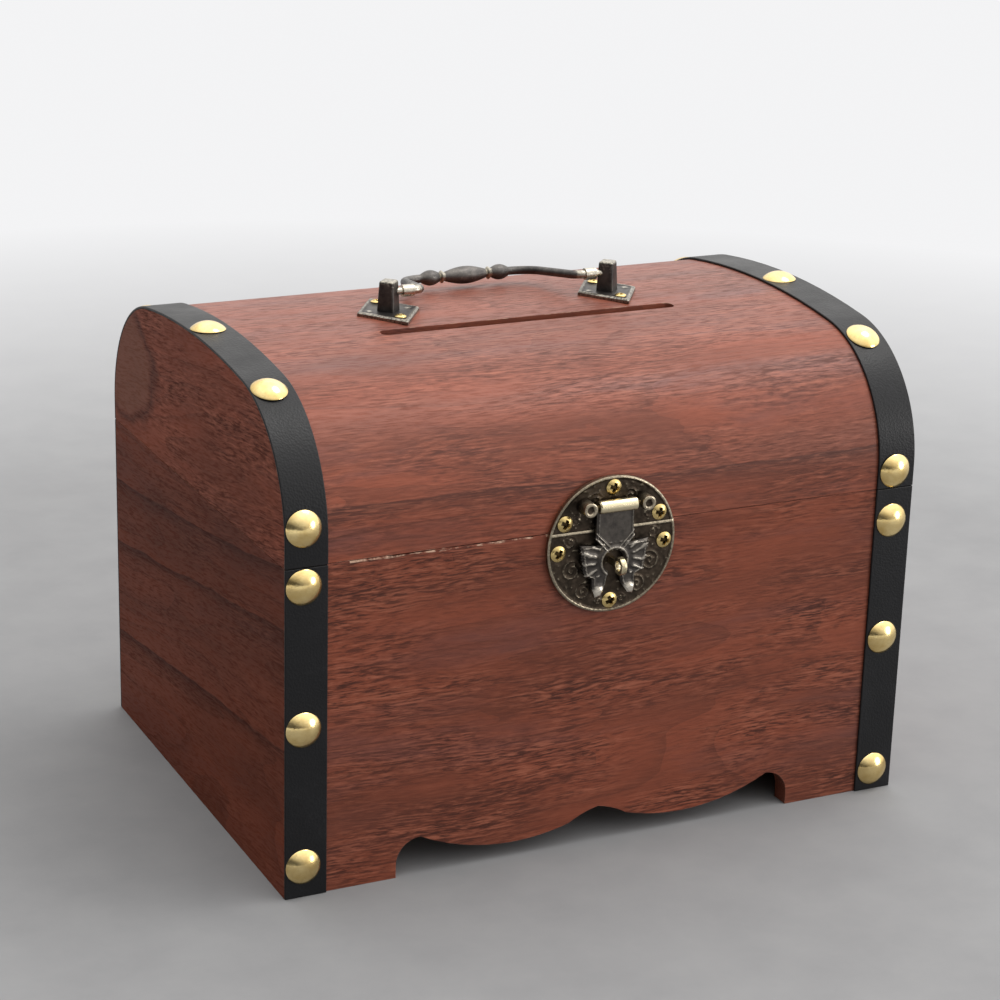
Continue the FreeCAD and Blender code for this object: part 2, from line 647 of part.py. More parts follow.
pad(staple, eye, "Sizes.staple_thickness")
pieces.append(staple)


# Handle: two diamond plates with upright posts, and a bail with a turned crown between them
def diamond(sketch, half_x, half_y):
    draw(sketch, [(half_x, "0"), ("0", half_y), (f"-{half_x}", "0"), ("0", f"-{half_y}")])


HANDLE_Y = "(Sizes.timber_y + Sizes.handle_y)"
handle_screw_places = []
for side, sign in (("left", "-"), ("right", "+")):
    x = f"Sizes.fittings_x {sign} Sizes.handle_spacing / 2"
    plate = new_body(f"handle_plate_{side}", x, HANDLE_Y, TOP)
    base = new_sketch(plate, "XY_Plane")
    diamond(base, "Sizes.diamond_x", "Sizes.diamond_y")
    for screw_y in ("-Sizes.handle_screw_y", "Sizes.handle_screw_y"):
        draw_circle(base, "0", screw_y, "Sizes.screw_shank + Sizes.running_gap")
        handle_screw_places.append((x, f"{HANDLE_Y} + {screw_y}", f"{TOP} + Sizes.handle_plate", FACING_UP))
    pad(plate, base, "Sizes.handle_plate")
    foot = new_sketch(plate, "XY_Plane", "Sizes.handle_plate / 2")
    diamond(foot, "Sizes.post_foot", "Sizes.post_foot")
    head = new_sketch(plate, "XY_Plane", "Sizes.post_height")
    diamond(head, "Sizes.post_head", "Sizes.post_head")
    post = plate.newObject("PartDesign::AdditiveLoft", "Post")
    post.Profile = foot
    post.Sections = [head]
    doc.recompute()
    top_face = max(range(len(post.Shape.Faces)), key=lambda i: post.Shape.Faces[i].CenterOfMass.z)
    crown = plate.newObject("PartDesign::Fillet", "Crown")
    crown.Base = (post, [f"Face{top_face + 1}"])
    crown.setExpression("Radius", "Sizes.post_crown")
    doc.recompute()
    hole = new_sketch(plate, "YZ_Plane", "-Sizes.post_foot")
    draw_circle(hole, "0", "Sizes.pivot_height", "Sizes.bail_pin + Sizes.running_gap")
    pocket(plate, hole, "2 * Sizes.post_foot", reverse=True)
    pieces.append(plate)
group("handle_screws", small_screw, handle_screw_places)

SLOPE = "(Sizes.bail_slope * 1 deg)"
BENDS = f"(Sizes.bail_shoulder + Sizes.bail_heel) * (1 - cos({SLOPE}))"
ARM = f"((Sizes.bail_reach - {BENDS}) / sin({SLOPE}))"
arm_x = f"(Sizes.bail_crown + Sizes.bail_shoulder * sin({SLOPE}))"
arm_y = f"(Sizes.bail_reach - Sizes.bail_shoulder * (1 - cos({SLOPE})))"
heel_x = f"({arm_x} + {ARM} * cos({SLOPE}))"
heel_y = f"({arm_y} - {ARM} * sin({SLOPE}))"

bail = new_body("handle_bail")
bail.Placement = Placement(Vector(), Rotation(Vector(1, 0, 0), -size("bail_rest")))
place(bail, "Sizes.fittings_x", HANDLE_Y, f"{TOP} + Sizes.pivot_height")
spine = new_sketch(bail, "XY_Plane")
draw(
    spine,
    [
        ("0", "Sizes.bail_reach"),
        ("Sizes.bail_crown", "Sizes.bail_reach", "-Sizes.bail_shoulder"),
        (arm_x, arm_y),
        (heel_x, heel_y, "Sizes.bail_heel"),
        (f"{heel_x} + Sizes.bail_heel * sin({SLOPE})", "0"),
        ("Sizes.bail_collar_end", "0"),
    ],
    closed=False,
)
section = new_sketch(bail, "YZ_Plane")
draw_circle(section, "Sizes.bail_reach", "0", "Sizes.bail_rod")
arm = bail.newObject("PartDesign::AdditivePipe", "Arm")
arm.Profile = section
arm.Spine = spine
doc.recompute()

turning = new_sketch(bail, "XY_Plane")
turning.setExpression("AttachmentOffset.Base.y", "Sizes.bail_reach")


def swelling(half, rise):
    """Radius of the arc that rises this far over this half length."""
    return f"(({half})^2 + ({rise})^2) / (2 * ({rise}))"


bead_start = "Sizes.bulb_half"
bead_end = "(Sizes.bulb_half + Sizes.bead_length)"
side_half = f"((Sizes.bail_crown - {bead_end}) / 2)"
draw(
    turning,
    [
        ("0", "0"),
        ("Sizes.bail_crown", "0"),
        ("Sizes.bail_crown", "Sizes.bail_rod", swelling(side_half, "Sizes.side_bulb_radius - Sizes.bail_rod")),
        (bead_end, "Sizes.bail_rod", swelling("Sizes.bead_length / 2", "Sizes.bead_radius - Sizes.bail_rod")),
        (bead_start, "Sizes.bail_rod", swelling("Sizes.bulb_half", "Sizes.bulb_radius - Sizes.bail_rod")),
        ("0", "Sizes.bulb_radius"),
    ],
)
crown = revolve(bail, turning, "H_Axis")
collar = new_sketch(bail, "YZ_Plane", "Sizes.bail_collar_end - Sizes.bail_collar_length")
draw_circle(collar, "0", "0", "Sizes.bail_collar")
collar_pad = pad(bail, collar, "Sizes.bail_collar_length")
pivot = new_sketch(bail, "YZ_Plane", "Sizes.bail_collar_end - Sizes.bail_collar_length")
draw_circle(pivot, "0", "0", "Sizes.bail_pin")
pivot_length = "Sizes.bail_pin_end - Sizes.bail_collar_end + Sizes.bail_collar_length"
pivot_pad = pad(bail, pivot, pivot_length)
other_half = bail.newObject("PartDesign::Mirrored", "OtherHalf")
other_half.Originals = [arm, crown, collar_pad, pivot_pad]
other_half.MirrorPlane = (origin_plane(bail, "YZ_Plane"), [""])
bail.Tip = other_half
doc.recompute()
pieces.append(bail)


# Hinges: a lower leaf with two knuckles, an upper leaf with one between them, and a capped pin
HINGE_Y = f"({BACK} + Sizes.hinge_out)"
LEAF_FACE = "(Sizes.hinge_out - Sizes.leaf_thickness)"


def hinge_leaf(label, x, up, knuckles):
    """One leaf. up is "" for the upper leaf and "-" for the lower, knuckles are (start, length)."""
    body = new_body(label, x, HINGE_Y, "Sizes.seam_height")
    leaf = new_sketch(body, "XZ_Plane", LEAF_FACE)
    near, far = f"{up}Sizes.leaf_start", f"{up}Sizes.leaf_end"
    draw(
        leaf,
        [
            ("-Sizes.hinge_half", near),
            ("Sizes.hinge_half", near),
            ("Sizes.hinge_half", far),
            ("-Sizes.hinge_half", far),
        ],
    )
    for screw_x in ("-Sizes.leaf_screw_x", "Sizes.leaf_screw_x"):
        draw_circle(leaf, screw_x, f"{up}Sizes.leaf_screw_z", "Sizes.screw_shank + Sizes.running_gap")
    pad(body, leaf, "Sizes.leaf_thickness")
    turn = "-" if up == "" else ""
    radius = "Sizes.knuckle_radius"
    level = f"{up}sqrt({radius}^2 - {LEAF_FACE}^2)"
    for start, length in knuckles:
        knuckle = new_sketch(body, "YZ_Plane", start)
        draw(
            knuckle,
            [
                ("-Sizes.hinge_out", f"{up}Sizes.knuckle_gap"),
                ("-Sizes.hinge_out", f"{up}(Sizes.leaf_start + Sizes.leaf_thickness)"),
                (f"-{LEAF_FACE}", f"{up}(Sizes.leaf_start + Sizes.leaf_thickness)"),
                (f"-{LEAF_FACE}", level, f"{turn}{radius}"),
                ("0", f"{up}{radius}", f"{turn}{radius}"),
                (radius, "0", f"{turn}{radius}"),
                ("0", f"{'-' if up == '' else ''}{radius}", f"{turn}{radius}"),
                (f"-{radius}", "0"),
            ],
        )
        draw_circle(knuckle, "0", "0", "Sizes.hinge_pin_radius + Sizes.running_gap")
        pad(body, knuckle, length)
    pieces.append(body)


OUTER_START = "Sizes.knuckle_half + Sizes.knuckle_gap"
OUTER_LENGTH = "Sizes.hinge_half - Sizes.knuckle_half - Sizes.knuckle_gap"
hinge_screw_places = {"lower": [], "upper": []}
for side, sign in (("left", "-"), ("right", "")):
    x = f"{sign}Sizes.hinge_x"
    hinge_leaf(
        f"hinge_lower_leaf_{side}",
        x,
        "-",
        [("-Sizes.hinge_half", OUTER_LENGTH), (OUTER_START, OUTER_LENGTH)],
    )
    hinge_leaf(f"hinge_upper_leaf_{side}", x, "", [("-Sizes.knuckle_half", "2 * Sizes.knuckle_half")])
    for part, up in (("lower", "-"), ("upper", "+")):
        for along in ("-", "+"):
            screw_x = f"{x} {along} Sizes.leaf_screw_x"
            screw_z = f"Sizes.seam_height {up} Sizes.leaf_screw_z"
            screw_y = f"{BACK} + Sizes.leaf_thickness"
            hinge_screw_places[part].append((screw_x, screw_y, screw_z, FACING_BACK))
    pin = new_body(f"hinge_pin_{side}", f"{x} - Sizes.hinge_half", HINGE_Y, "Sizes.seam_height")
    shank = new_sketch(pin, "YZ_Plane")
    draw_circle(shank, "0", "0", "Sizes.hinge_pin_radius")
    pad(pin, shank, "2 * Sizes.hinge_half")
    for start in ("-Sizes.hinge_pin_cap_length", "2 * Sizes.hinge_half"):
        cap = new_sketch(pin, "YZ_Plane", start)
        draw_circle(cap, "0", "0", "Sizes.hinge_pin_cap")
        pad(pin, cap, "Sizes.hinge_pin_cap_length")
    pieces.append(pin)
group("hinge_lower_screws", small_screw, hinge_screw_places["lower"])
group("hinge_upper_screws", small_screw, hinge_screw_places["upper"])

# Check every piece, then write it
doc.recompute()
failed = [o.Label for o in doc.Objects if "Invalid" in o.State or "Error" in o.State]
assert not failed, f"failed objects: {failed}"
os.makedirs("parts", exist_ok=True)
for piece in pieces:
    shape = piece.Shape
    assert not shape.isNull() and shape.isValid(), f"{piece.Label} has no valid shape"
    assert shape.Volume > 0, f"{piece.Label} has no volume"
    shape.exportStep(f"parts/{piece.Label}.step")
    print(f"{piece.Label}: {len(shape.Solids)} solid(s), {shape.Volume:.0f} mm3")
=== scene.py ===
import json
import math
import random

import bmesh
import bpy
from mathutils import Matrix, Vector, noise

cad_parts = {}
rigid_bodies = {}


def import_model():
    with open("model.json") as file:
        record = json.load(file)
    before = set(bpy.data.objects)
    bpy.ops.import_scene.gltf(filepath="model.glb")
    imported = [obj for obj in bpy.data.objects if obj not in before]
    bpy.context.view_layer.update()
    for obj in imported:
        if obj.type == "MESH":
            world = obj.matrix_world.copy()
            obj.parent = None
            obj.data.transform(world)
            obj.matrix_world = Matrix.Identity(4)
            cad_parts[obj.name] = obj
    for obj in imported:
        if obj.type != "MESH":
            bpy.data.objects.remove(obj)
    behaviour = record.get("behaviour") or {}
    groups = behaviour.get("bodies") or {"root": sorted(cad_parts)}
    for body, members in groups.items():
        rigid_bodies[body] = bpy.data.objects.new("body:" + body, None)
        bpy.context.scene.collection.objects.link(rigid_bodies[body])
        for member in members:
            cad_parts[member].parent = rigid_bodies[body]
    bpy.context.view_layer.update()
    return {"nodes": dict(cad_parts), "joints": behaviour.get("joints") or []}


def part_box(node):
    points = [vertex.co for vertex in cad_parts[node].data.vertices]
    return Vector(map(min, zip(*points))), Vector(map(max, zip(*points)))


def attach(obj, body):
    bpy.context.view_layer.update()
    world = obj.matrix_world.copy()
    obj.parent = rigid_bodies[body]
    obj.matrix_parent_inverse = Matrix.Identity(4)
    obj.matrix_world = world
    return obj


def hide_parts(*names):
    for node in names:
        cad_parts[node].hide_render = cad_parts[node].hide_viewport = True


for leftover in list(bpy.data.objects):
    bpy.data.objects.remove(leftover)
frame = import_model()


# Side boards of the base: two upright boards of open-grained wood with a red-brown stain and a satin
# varnish. They are sawn square, their arrises are rubbed down by hand, and they stand on the floor.
MM = 0.001
BOARD_ARRIS = 0.15 * MM
ARRIS_STEPS = 3
ARRIS_WEAR = 0.2
END_SHEEN = 0.02
END_TONE = 0.8
STAIN_RED = (0.215, 0.057, 0.031)
STAIN_BROWN = (0.112, 0.034, 0.021)
STAIN_LIGHT = (0.325, 0.110, 0.066)
STAIN_PLUM = (0.115, 0.050, 0.046)
STAIN_DARK = (0.052, 0.017, 0.012)
STAIN_EYE = (0.165, 0.066, 0.043)
BARE_WOOD = (0.55, 0.36, 0.26)
INSIDE_PALE = (0.30, 0.145, 0.085)
INSIDE_DEEP = (0.21, 0.092, 0.056)
INSIDE_STREAK = (0.11, 0.045, 0.03)
END_GRAIN_TILT = math.radians(7)
YEAR_FADE = 15 * MM
YEAR_EDGE = 0.5 * MM
YEAR_SWAY = 5.8 * MM
YEAR_DEPTH = 0.8
LEFT_YEARS = (88.1 * MM, 69.1 * MM, 36 * MM)
RIGHT_YEARS = (96 * MM, 39 * MM)
LEFT_SHIFT = (0.31, 0.09, -0.16)
RIGHT_SHIFT = (0.83, 0.12, -0.19)
END_PLUM = 0.3
END_PORE = 0.17


def feed(node, inputs):
    """Sets a node's inputs to plain values, or joins them to other nodes' outputs."""
    for key, value in inputs.items():
        if isinstance(value, bpy.types.NodeSocket):
            node.id_data.links.new(value, node.inputs[key])
        else:
            node.inputs[key].default_value = value


def add_node(tree, kind, inputs=None, **settings):
    made = tree.nodes.new("ShaderNode" + kind)
    for key, value in settings.items():
        setattr(made, key, value)
    feed(made, inputs or {})
    return made


def tree_of(*values):
    """The node tree of the first of these values that is an output."""
    return next(v.id_data for v in values if isinstance(v, bpy.types.NodeSocket))


def mixed(factor, first, second, blend="MIX"):
    """Two colours mixed by a factor. Each is a colour or an output."""
    inputs = {0: factor}
    for socket, colour in ((6, first), (7, second)):
        inputs[socket] = colour if isinstance(colour, bpy.types.NodeSocket) else (*colour, 1)
    tree = tree_of(factor, first, second)
    return add_node(tree, "Mix", inputs, data_type="RGBA", blend_type=blend).outputs[2]


def between(value, start, stop, low=0.0, high=1.0):
    """Carries a value from start..stop to low..high, and holds it there."""
    inputs = {"Value": value, "From Min": start, "From Max": stop, "To Min": low, "To Max": high}
    return add_node(tree_of(value), "MapRange", inputs).outputs["Result"]


def sums(operation, first, second=0.0):
    return add_node(tree_of(first), "Math", {0: first, 1: second}, operation=operation).outputs[0]


def times(first, second):
    return sums("MULTIPLY", first, second)


def plus(first, second):
    return sums("ADD", first, second)


def vectors(operation, first, second=(0, 0, 0), output=0):
    inputs = {0: first, 1: second}
    return add_node(tree_of(first), "VectorMath", inputs, operation=operation).outputs[output]


def stretched(fibres, along, across=1):
    return vectors("MULTIPLY", fibres, (along, across, across))


def swayed(fibres, wander, reach):
    """Fibres that wander sideways by up to this much."""
    inputs = {0: wander, 1: (0.0, reach, reach), 2: fibres}
    return add_node(tree_of(fibres), "VectorMath", inputs, operation="MULTIPLY_ADD").outputs[0]


def cloudy(vector, scale, detail=2.0, roughness=0.5, output="Fac"):
    inputs = {"Vector": vector, "Scale": scale, "Detail": detail, "Roughness": roughness}
    return add_node(tree_of(vector), "TexNoise", inputs).outputs[output]


def bumped(height, strength, depth):
    inputs = {"Height": height, "Strength": strength, "Distance": depth}
    return add_node(tree_of(height), "Bump", inputs).outputs["Normal"]


def worn_marks(place):
    """How worn each spot of a piece is, as its mesh says: 0 untouched, 1 rubbed."""
    return add_node(tree_of(place), "Attribute", attribute_name="worn").outputs["Fac"]


def new_finish(name):
    """A new finish, its surface, and the place of each spot on the piece that has it."""
    finish = bpy.data.materials.new(name)
    finish.use_nodes = True
    place = add_node(finish.node_tree, "TexCoord").outputs["Object"]
    return finish, finish.node_tree.nodes["Principled BSDF"], place


def along_fibres(place, turn, shift):
    inputs = {"Vector": place, "Rotation": turn, "Location": shift}
    return add_node(tree_of(place), "Mapping", inputs).outputs[0]


def stained_wood(name, turn, shift, tone=1.0, plum=0.5, sheen=0.18, pore=0.52, years=(), knot=None):
    """Wood whose fibres run along X once turned: clouds of stain, growth lines, fibres and open pores.
    Years are bold lines at these heights across the fibres, each fading downwards. A knot is a smooth
    eye of (y, z, half length, half height) in the figure of an end board."""
    finish, surface, place = new_finish(name)
    fibres = along_fibres(place, turn, shift)
    flow = swayed(fibres, cloudy(stretched(fibres, 7, 26), 1.0, output="Color"), 0.010)
    waves = swayed(flow, cloudy(stretched(fibres, 70, 230), 1.0, output="Color"), 0.0016)

    blotches = cloudy(stretched(flow, 0.22), 46, 3.0, 0.6)
    ground = mixed(between(blotches, 0.40, 0.66, 0.0, 0.7), STAIN_RED, STAIN_BROWN)
    smoke = cloudy(stretched(waves, 0.16), 52, 5.0, 0.66)
    ground = mixed(between(smoke, 0.49, 0.66, 0.0, plum), ground, STAIN_PLUM)

    drift = cloudy(stretched(waves, 0.15), 27, 1.5, 0.4)
    late_wood = sums("POWER", sums("FRACT", times(drift, 15.0)), 4.0)
    ground = mixed(times(late_wood, 0.5), ground, STAIN_BROWN)
    across = add_node(tree_of(waves), "SeparateXYZ", {0: waves}).outputs["Z"]
    for height in years:
        line = height + shift[2] + YEAR_SWAY
        below = between(across, line - YEAR_FADE, line)
        above = between(across, line, line + YEAR_EDGE, 1.0, 0.0)
        shade = times(sums("POWER", below, 4.0), above)
        ground = mixed(times(shade, YEAR_DEPTH), ground, STAIN_DARK)

    streaks = cloudy(stretched(waves, 0.022), 1250, 2.0, 0.6)
    bands = cloudy(stretched(flow, 0.3), 75)
    figure = between(bands, 0.36, 0.62, 0.35 * pore, 1.7 * pore)
    ground = mixed(times(between(streaks, 0.52, 0.68), figure), ground, STAIN_BROWN)
    ground = mixed(times(between(streaks, 0.47, 0.32, 0.0, 0.75), figure), ground, STAIN_LIGHT)

    dashes = cloudy(stretched(waves, 0.11), 1750, 3.0, 0.6)
    pores = between(plus(dashes, times(late_wood, 0.04)), 0.50, 0.63)
    coloured = mixed(times(between(dashes, 0.46, 0.33, 0.0, 0.8), figure), ground, STAIN_LIGHT)
    coloured = mixed(times(pores, figure), coloured, STAIN_DARK)
    if knot:
        y, z, half_length, half_height = knot
        rounds = vectors("SUBTRACT", place, (0, y, z))
        rounds = vectors("MULTIPLY", rounds, (0, 1 / half_length, 1 / half_height))
        ripples = between(cloudy(place, 60), 0.3, 0.7, -0.1, 0.1)
        reach = plus(vectors("LENGTH", rounds, output="Value"), ripples)
        coloured = mixed(between(reach, 0.85, 1.0, 0.8, 0.0), coloured, STAIN_EYE)
        away = sums("ABSOLUTE", sums("SUBTRACT", reach, 1.0))
        coloured = mixed(between(away, 0.0, 0.13, 0.7, 0.0), coloured, STAIN_DARK)
    coloured = mixed(1.0, coloured, (tone, tone, tone), "MULTIPLY")

    patches = cloudy(place, 260, 3.0, 0.7)
    rubbed = times(worn_marks(place), between(patches, 0.46, 0.62, 0.0, 0.8))
    relief = sums("SUBTRACT", times(streaks, 0.5), times(pores, 0.4))
    look = {
        "Base Color": mixed(rubbed, coloured, BARE_WOOD),
        "Roughness": between(plus(pores, rubbed), 0.0, 1.0, 0.40, 0.58),
        "Specular IOR Level": sheen,
        "Normal": bumped(relief, 0.25, 0.15 * MM),
    }
    feed(surface, look)
    return finish


def rough_wood(name, turn, shift):
    """The inside of the box: the same wood, thinly stained and left unvarnished."""
    finish, surface, place = new_finish(name)
    fibres = along_fibres(place, turn, shift)
    blotches = cloudy(stretched(fibres, 0.25), 40, 3.0)
    streaks = cloudy(stretched(fibres, 0.04), 700, 3.0, 0.6)
    ground = mixed(between(blotches, 0.35, 0.65), INSIDE_PALE, INSIDE_DEEP)
    coloured = mixed(between(streaks, 0.5, 0.72, 0.0, 0.6), ground, INSIDE_STREAK)
    feed(surface, {"Base Color": coloured, "Roughness": 0.78, "Normal": bumped(streaks, 0.4, 0.3 * MM)})
    return finish


def square_board(name):
    """A square board in the place of a node."""
    low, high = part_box(name)
    bm = bmesh.new()
    bmesh.ops.create_cube(bm, size=1)
    bmesh.ops.scale(bm, vec=high - low, verts=bm.verts)
    bmesh.ops.translate(bm, vec=(low + high) / 2, verts=bm.verts)
    return bm


def round_edges(bm, edges, width, steps):
    """Rounds these edges, and gives the new faces."""
    rounding = {"offset": width, "offset_type": "OFFSET", "segments": steps, "profile": 0.5}
    made = bmesh.ops.bevel(bm, geom=edges, affect="EDGES", clamp_overlap=True, material=-1, **rounding)
    return made["faces"]


def ease_edges(bm, width, wear):
    """Rounds every sharp edge, and marks the rounded faces as worn by this much."""
    worn = bm.faces.layers.float.new("worn")
    sharp = [e for e in bm.edges if e.is_manifold and e.calc_face_angle() > math.radians(35)]
    for face in round_edges(bm, sharp, width, ARRIS_STEPS):
        face[worn] = wear


def turn_inside(bm, direction):
    """Gives the faces that look this way the second finish, that of the inside."""
    for face in bm.faces:
        if face.normal.dot(Vector(direction)) > 0.95:
            face.material_index = 1


def as_mesh(bm, name):
    mesh = bpy.data.meshes.new(name)
    bm.to_mesh(mesh)
    bm.free()
    return mesh


def show(name, bm, finishes, body, slot, *nodes):
    """Makes a mesh a piece of the box, in place of its nodes, smooth but for its sharp edges."""
    mesh = as_mesh(bm, name)
    for finish in finishes:
        mesh.materials.append(finish)
    mesh.shade_smooth()
    mesh.set_sharp_from_angle(angle=math.radians(40))
    piece = bpy.data.objects.new(name, mesh)
    bpy.context.scene.collection.objects.link(piece)
    piece.modifiers.new("flat_faces_stay_flat", "WEIGHTED_NORMAL").keep_sharp = True
    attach(piece, body)
    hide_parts(*nodes)


QUARTER = math.pi / 2
ALONG_BOX = (0, 0, 0)
ALONG_DEPTH = (END_GRAIN_TILT, 0, QUARTER)
inside_ends = rough_wood("inside_wood_ends", ALONG_DEPTH, (0.2, 0.1, 0.4))
inside_walls = rough_wood("inside_wood_walls", ALONG_BOX, (0.6, 0.3, 0.1))
SIDES = (("left", LEFT_SHIFT, LEFT_YEARS, (1, 0, 0)), ("right", RIGHT_SHIFT, RIGHT_YEARS, (-1, 0, 0)))
for side, shift, years, inward in SIDES:
    stain = (END_TONE, END_PLUM, END_SHEEN, END_PORE)
    wood = stained_wood(f"{side}_end_wood", ALONG_DEPTH, shift, *stain, years)
    bm = square_board(f"{side}_side")
    ease_edges(bm, BOARD_ARRIS, ARRIS_WEAR)
    turn_inside(bm, inward)
    show(f"side_board_{side}", bm, [wood, inside_ends], "base", "stained_wood", f"{side}_side")


# Front and back boards: stained boards between the sides, with a shaped apron sawn along the floor.
# The front board's top arris is chipped left of the latch, where the lid has been shut on it.
FRONT_TONE = 1.01
FRONT_SHIFT = (0.05, 0.062, -0.21)
BACK_SHIFT = (0.57, -0.02, -0.17)
CHIP_STRIP = 0.6 * MM
CHIP_RAGGED = 0.22 * MM
CHIP_WEAR = 1.5
CHIP_LENGTH = (0.8 * MM, 3.2 * MM)
CHIP_DEPTH = 0.4 * MM
CHIP_FINENESS = 310
CHIP_START = -80 * MM
CHIP_END = -20 * MM


def copied(name):
    """A copy of a node's mesh, with its triangles joined up and its flat faces made whole."""
    bm = bmesh.new()
    bm.from_mesh(frame["nodes"][name].data)
    bmesh.ops.remove_doubles(bm, verts=bm.verts, dist=0.001 * MM)
    bmesh.ops.dissolve_limit(bm, angle_limit=math.radians(0.05), verts=bm.verts, edges=bm.edges)
    return bm


def cut(bm, place, direction, faces=None):
    """Cuts the mesh, or some of its faces, along a plane."""
    faces = faces or bm.faces[:]
    edges = {e for f in faces for e in f.edges}
    verts = {v for f in faces for v in f.verts}
    geom = list(verts) + list(edges) + list(faces)
    bmesh.ops.bisect_plane(bm, geom=geom, plane_co=place, plane_no=direction, dist=0.001 * MM)


def chip_top(bm, low, high):
    """Breaks small chips out of the top front arris of the board that fills this box."""
    front, top = low.y, high.z
    cut(bm, (0, 0, top - CHIP_STRIP), (0, 0, 1))
    x = low.x
    while x < high.x:
        x += rng.uniform(*CHIP_LENGTH)
        strip = [f for f in bm.faces if f.calc_center_median().z > top - CHIP_STRIP]
        strip = [f for f in strip if min(v.co.x for v in f.verts) < x < max(v.co.x for v in f.verts)]
        if strip:
            cut(bm, (x, 0, 0), (1, 0, 0), strip)
    for vert in bm.verts:
        if vert.co.y > front + 1.1 * BOARD_ARRIS:
            continue
        if abs(vert.co.z - top + CHIP_STRIP) < 0.01 * MM:
            vert.co.z += rng.uniform(-CHIP_RAGGED, CHIP_RAGGED)
        if vert.co.z < top - 1.1 * BOARD_ARRIS:
            continue
        bite = noise.noise(Vector((vert.co.x * CHIP_FINENESS, 0.5, 0))) + 0.25
        reach = 1.0 if CHIP_START < vert.co.x < CHIP_END else 0.2
        vert.co.z -= CHIP_DEPTH * reach * max(0.0, bite)
    worn = bm.faces.layers.float["worn"]
    for face in bm.faces:
        middle = face.calc_center_median()
        if middle.z > top - CHIP_STRIP and middle.y < front + BOARD_ARRIS:
            face[worn] = CHIP_WEAR if CHIP_START < middle.x < CHIP_END else 0.0


rng = random.Random(11)
front_low, front_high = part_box("front_panel")
for name, shift, inward in (("front", FRONT_SHIFT, (0, 1, 0)), ("back", BACK_SHIFT, (0, -1, 0))):
    wood = stained_wood(f"{name}_wood", ALONG_BOX, shift, FRONT_TONE)
    bm = copied(f"{name}_panel")
    ease_edges(bm, BOARD_ARRIS, ARRIS_WEAR)
    if name == "front":
        chip_top(bm, front_low, front_high)
    turn_inside(bm, inward)
    show(f"{name}_board", bm, [wood, inside_walls], "base", "stained_wood", f"{name}_panel")


# Bottom board: a thin plain board let in between the four walls, a little above the floor. It is left
# unvarnished on both faces.
BOTTOM_ARRIS = 0.3 * MM
inside_floor = rough_wood("inside_wood_floor", ALONG_BOX, (0.15, 0.7, 0.3))
bm = square_board("bottom_panel")
ease_edges(bm, BOTTOM_ARRIS, 0.0)
show("bottom_board", bm, [inside_floor], "base", "stained_wood", "bottom_panel")


# Lid ends: two boards sawn to the lid's arched outline. Each is sawn off the same board as the side
# below it, so the grain runs on across the seam, but it is given a lighter tone. The left one has a
# knot.
LID_END_TONE = 1.15
LID_END_PORE = 0.4
LEFT_KNOT = (72 * MM, 120 * MM, 36 * MM, 18 * MM)
for side, shift, years, inward in SIDES:
    marks = ((), LEFT_KNOT) if side == "left" else (years, None)
    stain = (LID_END_TONE, END_PLUM, END_SHEEN, LID_END_PORE)
    wood = stained_wood(f"lid_{side}_wood", ALONG_DEPTH, shift, *stain, *marks)
    bm = copied(f"lid_{side}_end")
    ease_edges(bm, BOARD_ARRIS, ARRIS_WEAR)
    turn_inside(bm, inward)
    show(f"lid_end_{side}", bm, [wood, inside_ends], "lid", "stained_wood", f"lid_{side}_end")


# Lid board: one thin board bent over the two ends and glued down, with a long coin slot cut through it
# in front of the handle. The slot's edges are sanded, and its walls take the stain.
SHOULDER_RADIUS = 37.5 * MM
SHOULDER_TURN = math.radians(82)
SPRING_HEIGHT = 104.4 * MM
SHOULDER_STEPS = 24
CROWN_STEPS = 10
SLOT_LENGTH = 96 * MM
SLOT_WIDTH = 4.4 * MM
SLOT_MIDDLE = (-0.2 * MM, -13.15 * MM)
SLOT_ROUND = 2.15 * MM
SLOT_STEPS = 8
SLOT_WEAR = 0.55
LID_WEAR = 0.9
LID_TONE = 1.14
LID_PLUM = 0.7
LID_SHEEN = 0.25
LID_PORE = 0.36
LID_SHIFT = (0.42, 0.035, -0.245)
LID_YEARS = (111.5 * MM,)
SHELL_THICKNESS = 4 * MM
shell_low, shell_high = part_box("lid_shell")
MIDDLE_Y = (shell_low.y + shell_high.y) / 2
HALF_DEPTH = (shell_high.y - shell_low.y) / 2
SHOULDER_Y = HALF_DEPTH - SHOULDER_RADIUS
CROWN_CENTRE = SPRING_HEIGHT - SHOULDER_Y * math.tan(SHOULDER_TURN)
CROWN_RADIUS = SHOULDER_RADIUS + SHOULDER_Y / math.cos(SHOULDER_TURN)


def carry(bm, edges, move):
    """Draws a loop of edges out along a straight line, and gives the loop at its end."""
    drawn = bmesh.ops.extrude_edge_only(bm, edges=edges)["geom"]
    verts = [g for g in drawn if isinstance(g, bmesh.types.BMVert)]
    bmesh.ops.translate(bm, vec=move, verts=verts)
    ends = set(verts)
    return [g for g in drawn if isinstance(g, bmesh.types.BMEdge) and set(g.verts) <= ends]


def swing(bm, edges, centre, axis, angle, steps):
    """Draws a loop of edges out round an arc, and gives the loop at its end."""
    verts = list({v for e in edges for v in e.verts})
    arc = {"cent": centre, "axis": axis, "angle": angle, "steps": steps}
    last = bmesh.ops.spin(bm, geom=verts + edges, use_merge=False, **arc)["geom_last"]
    return [g for g in last if isinstance(g, bmesh.types.BMEdge)]


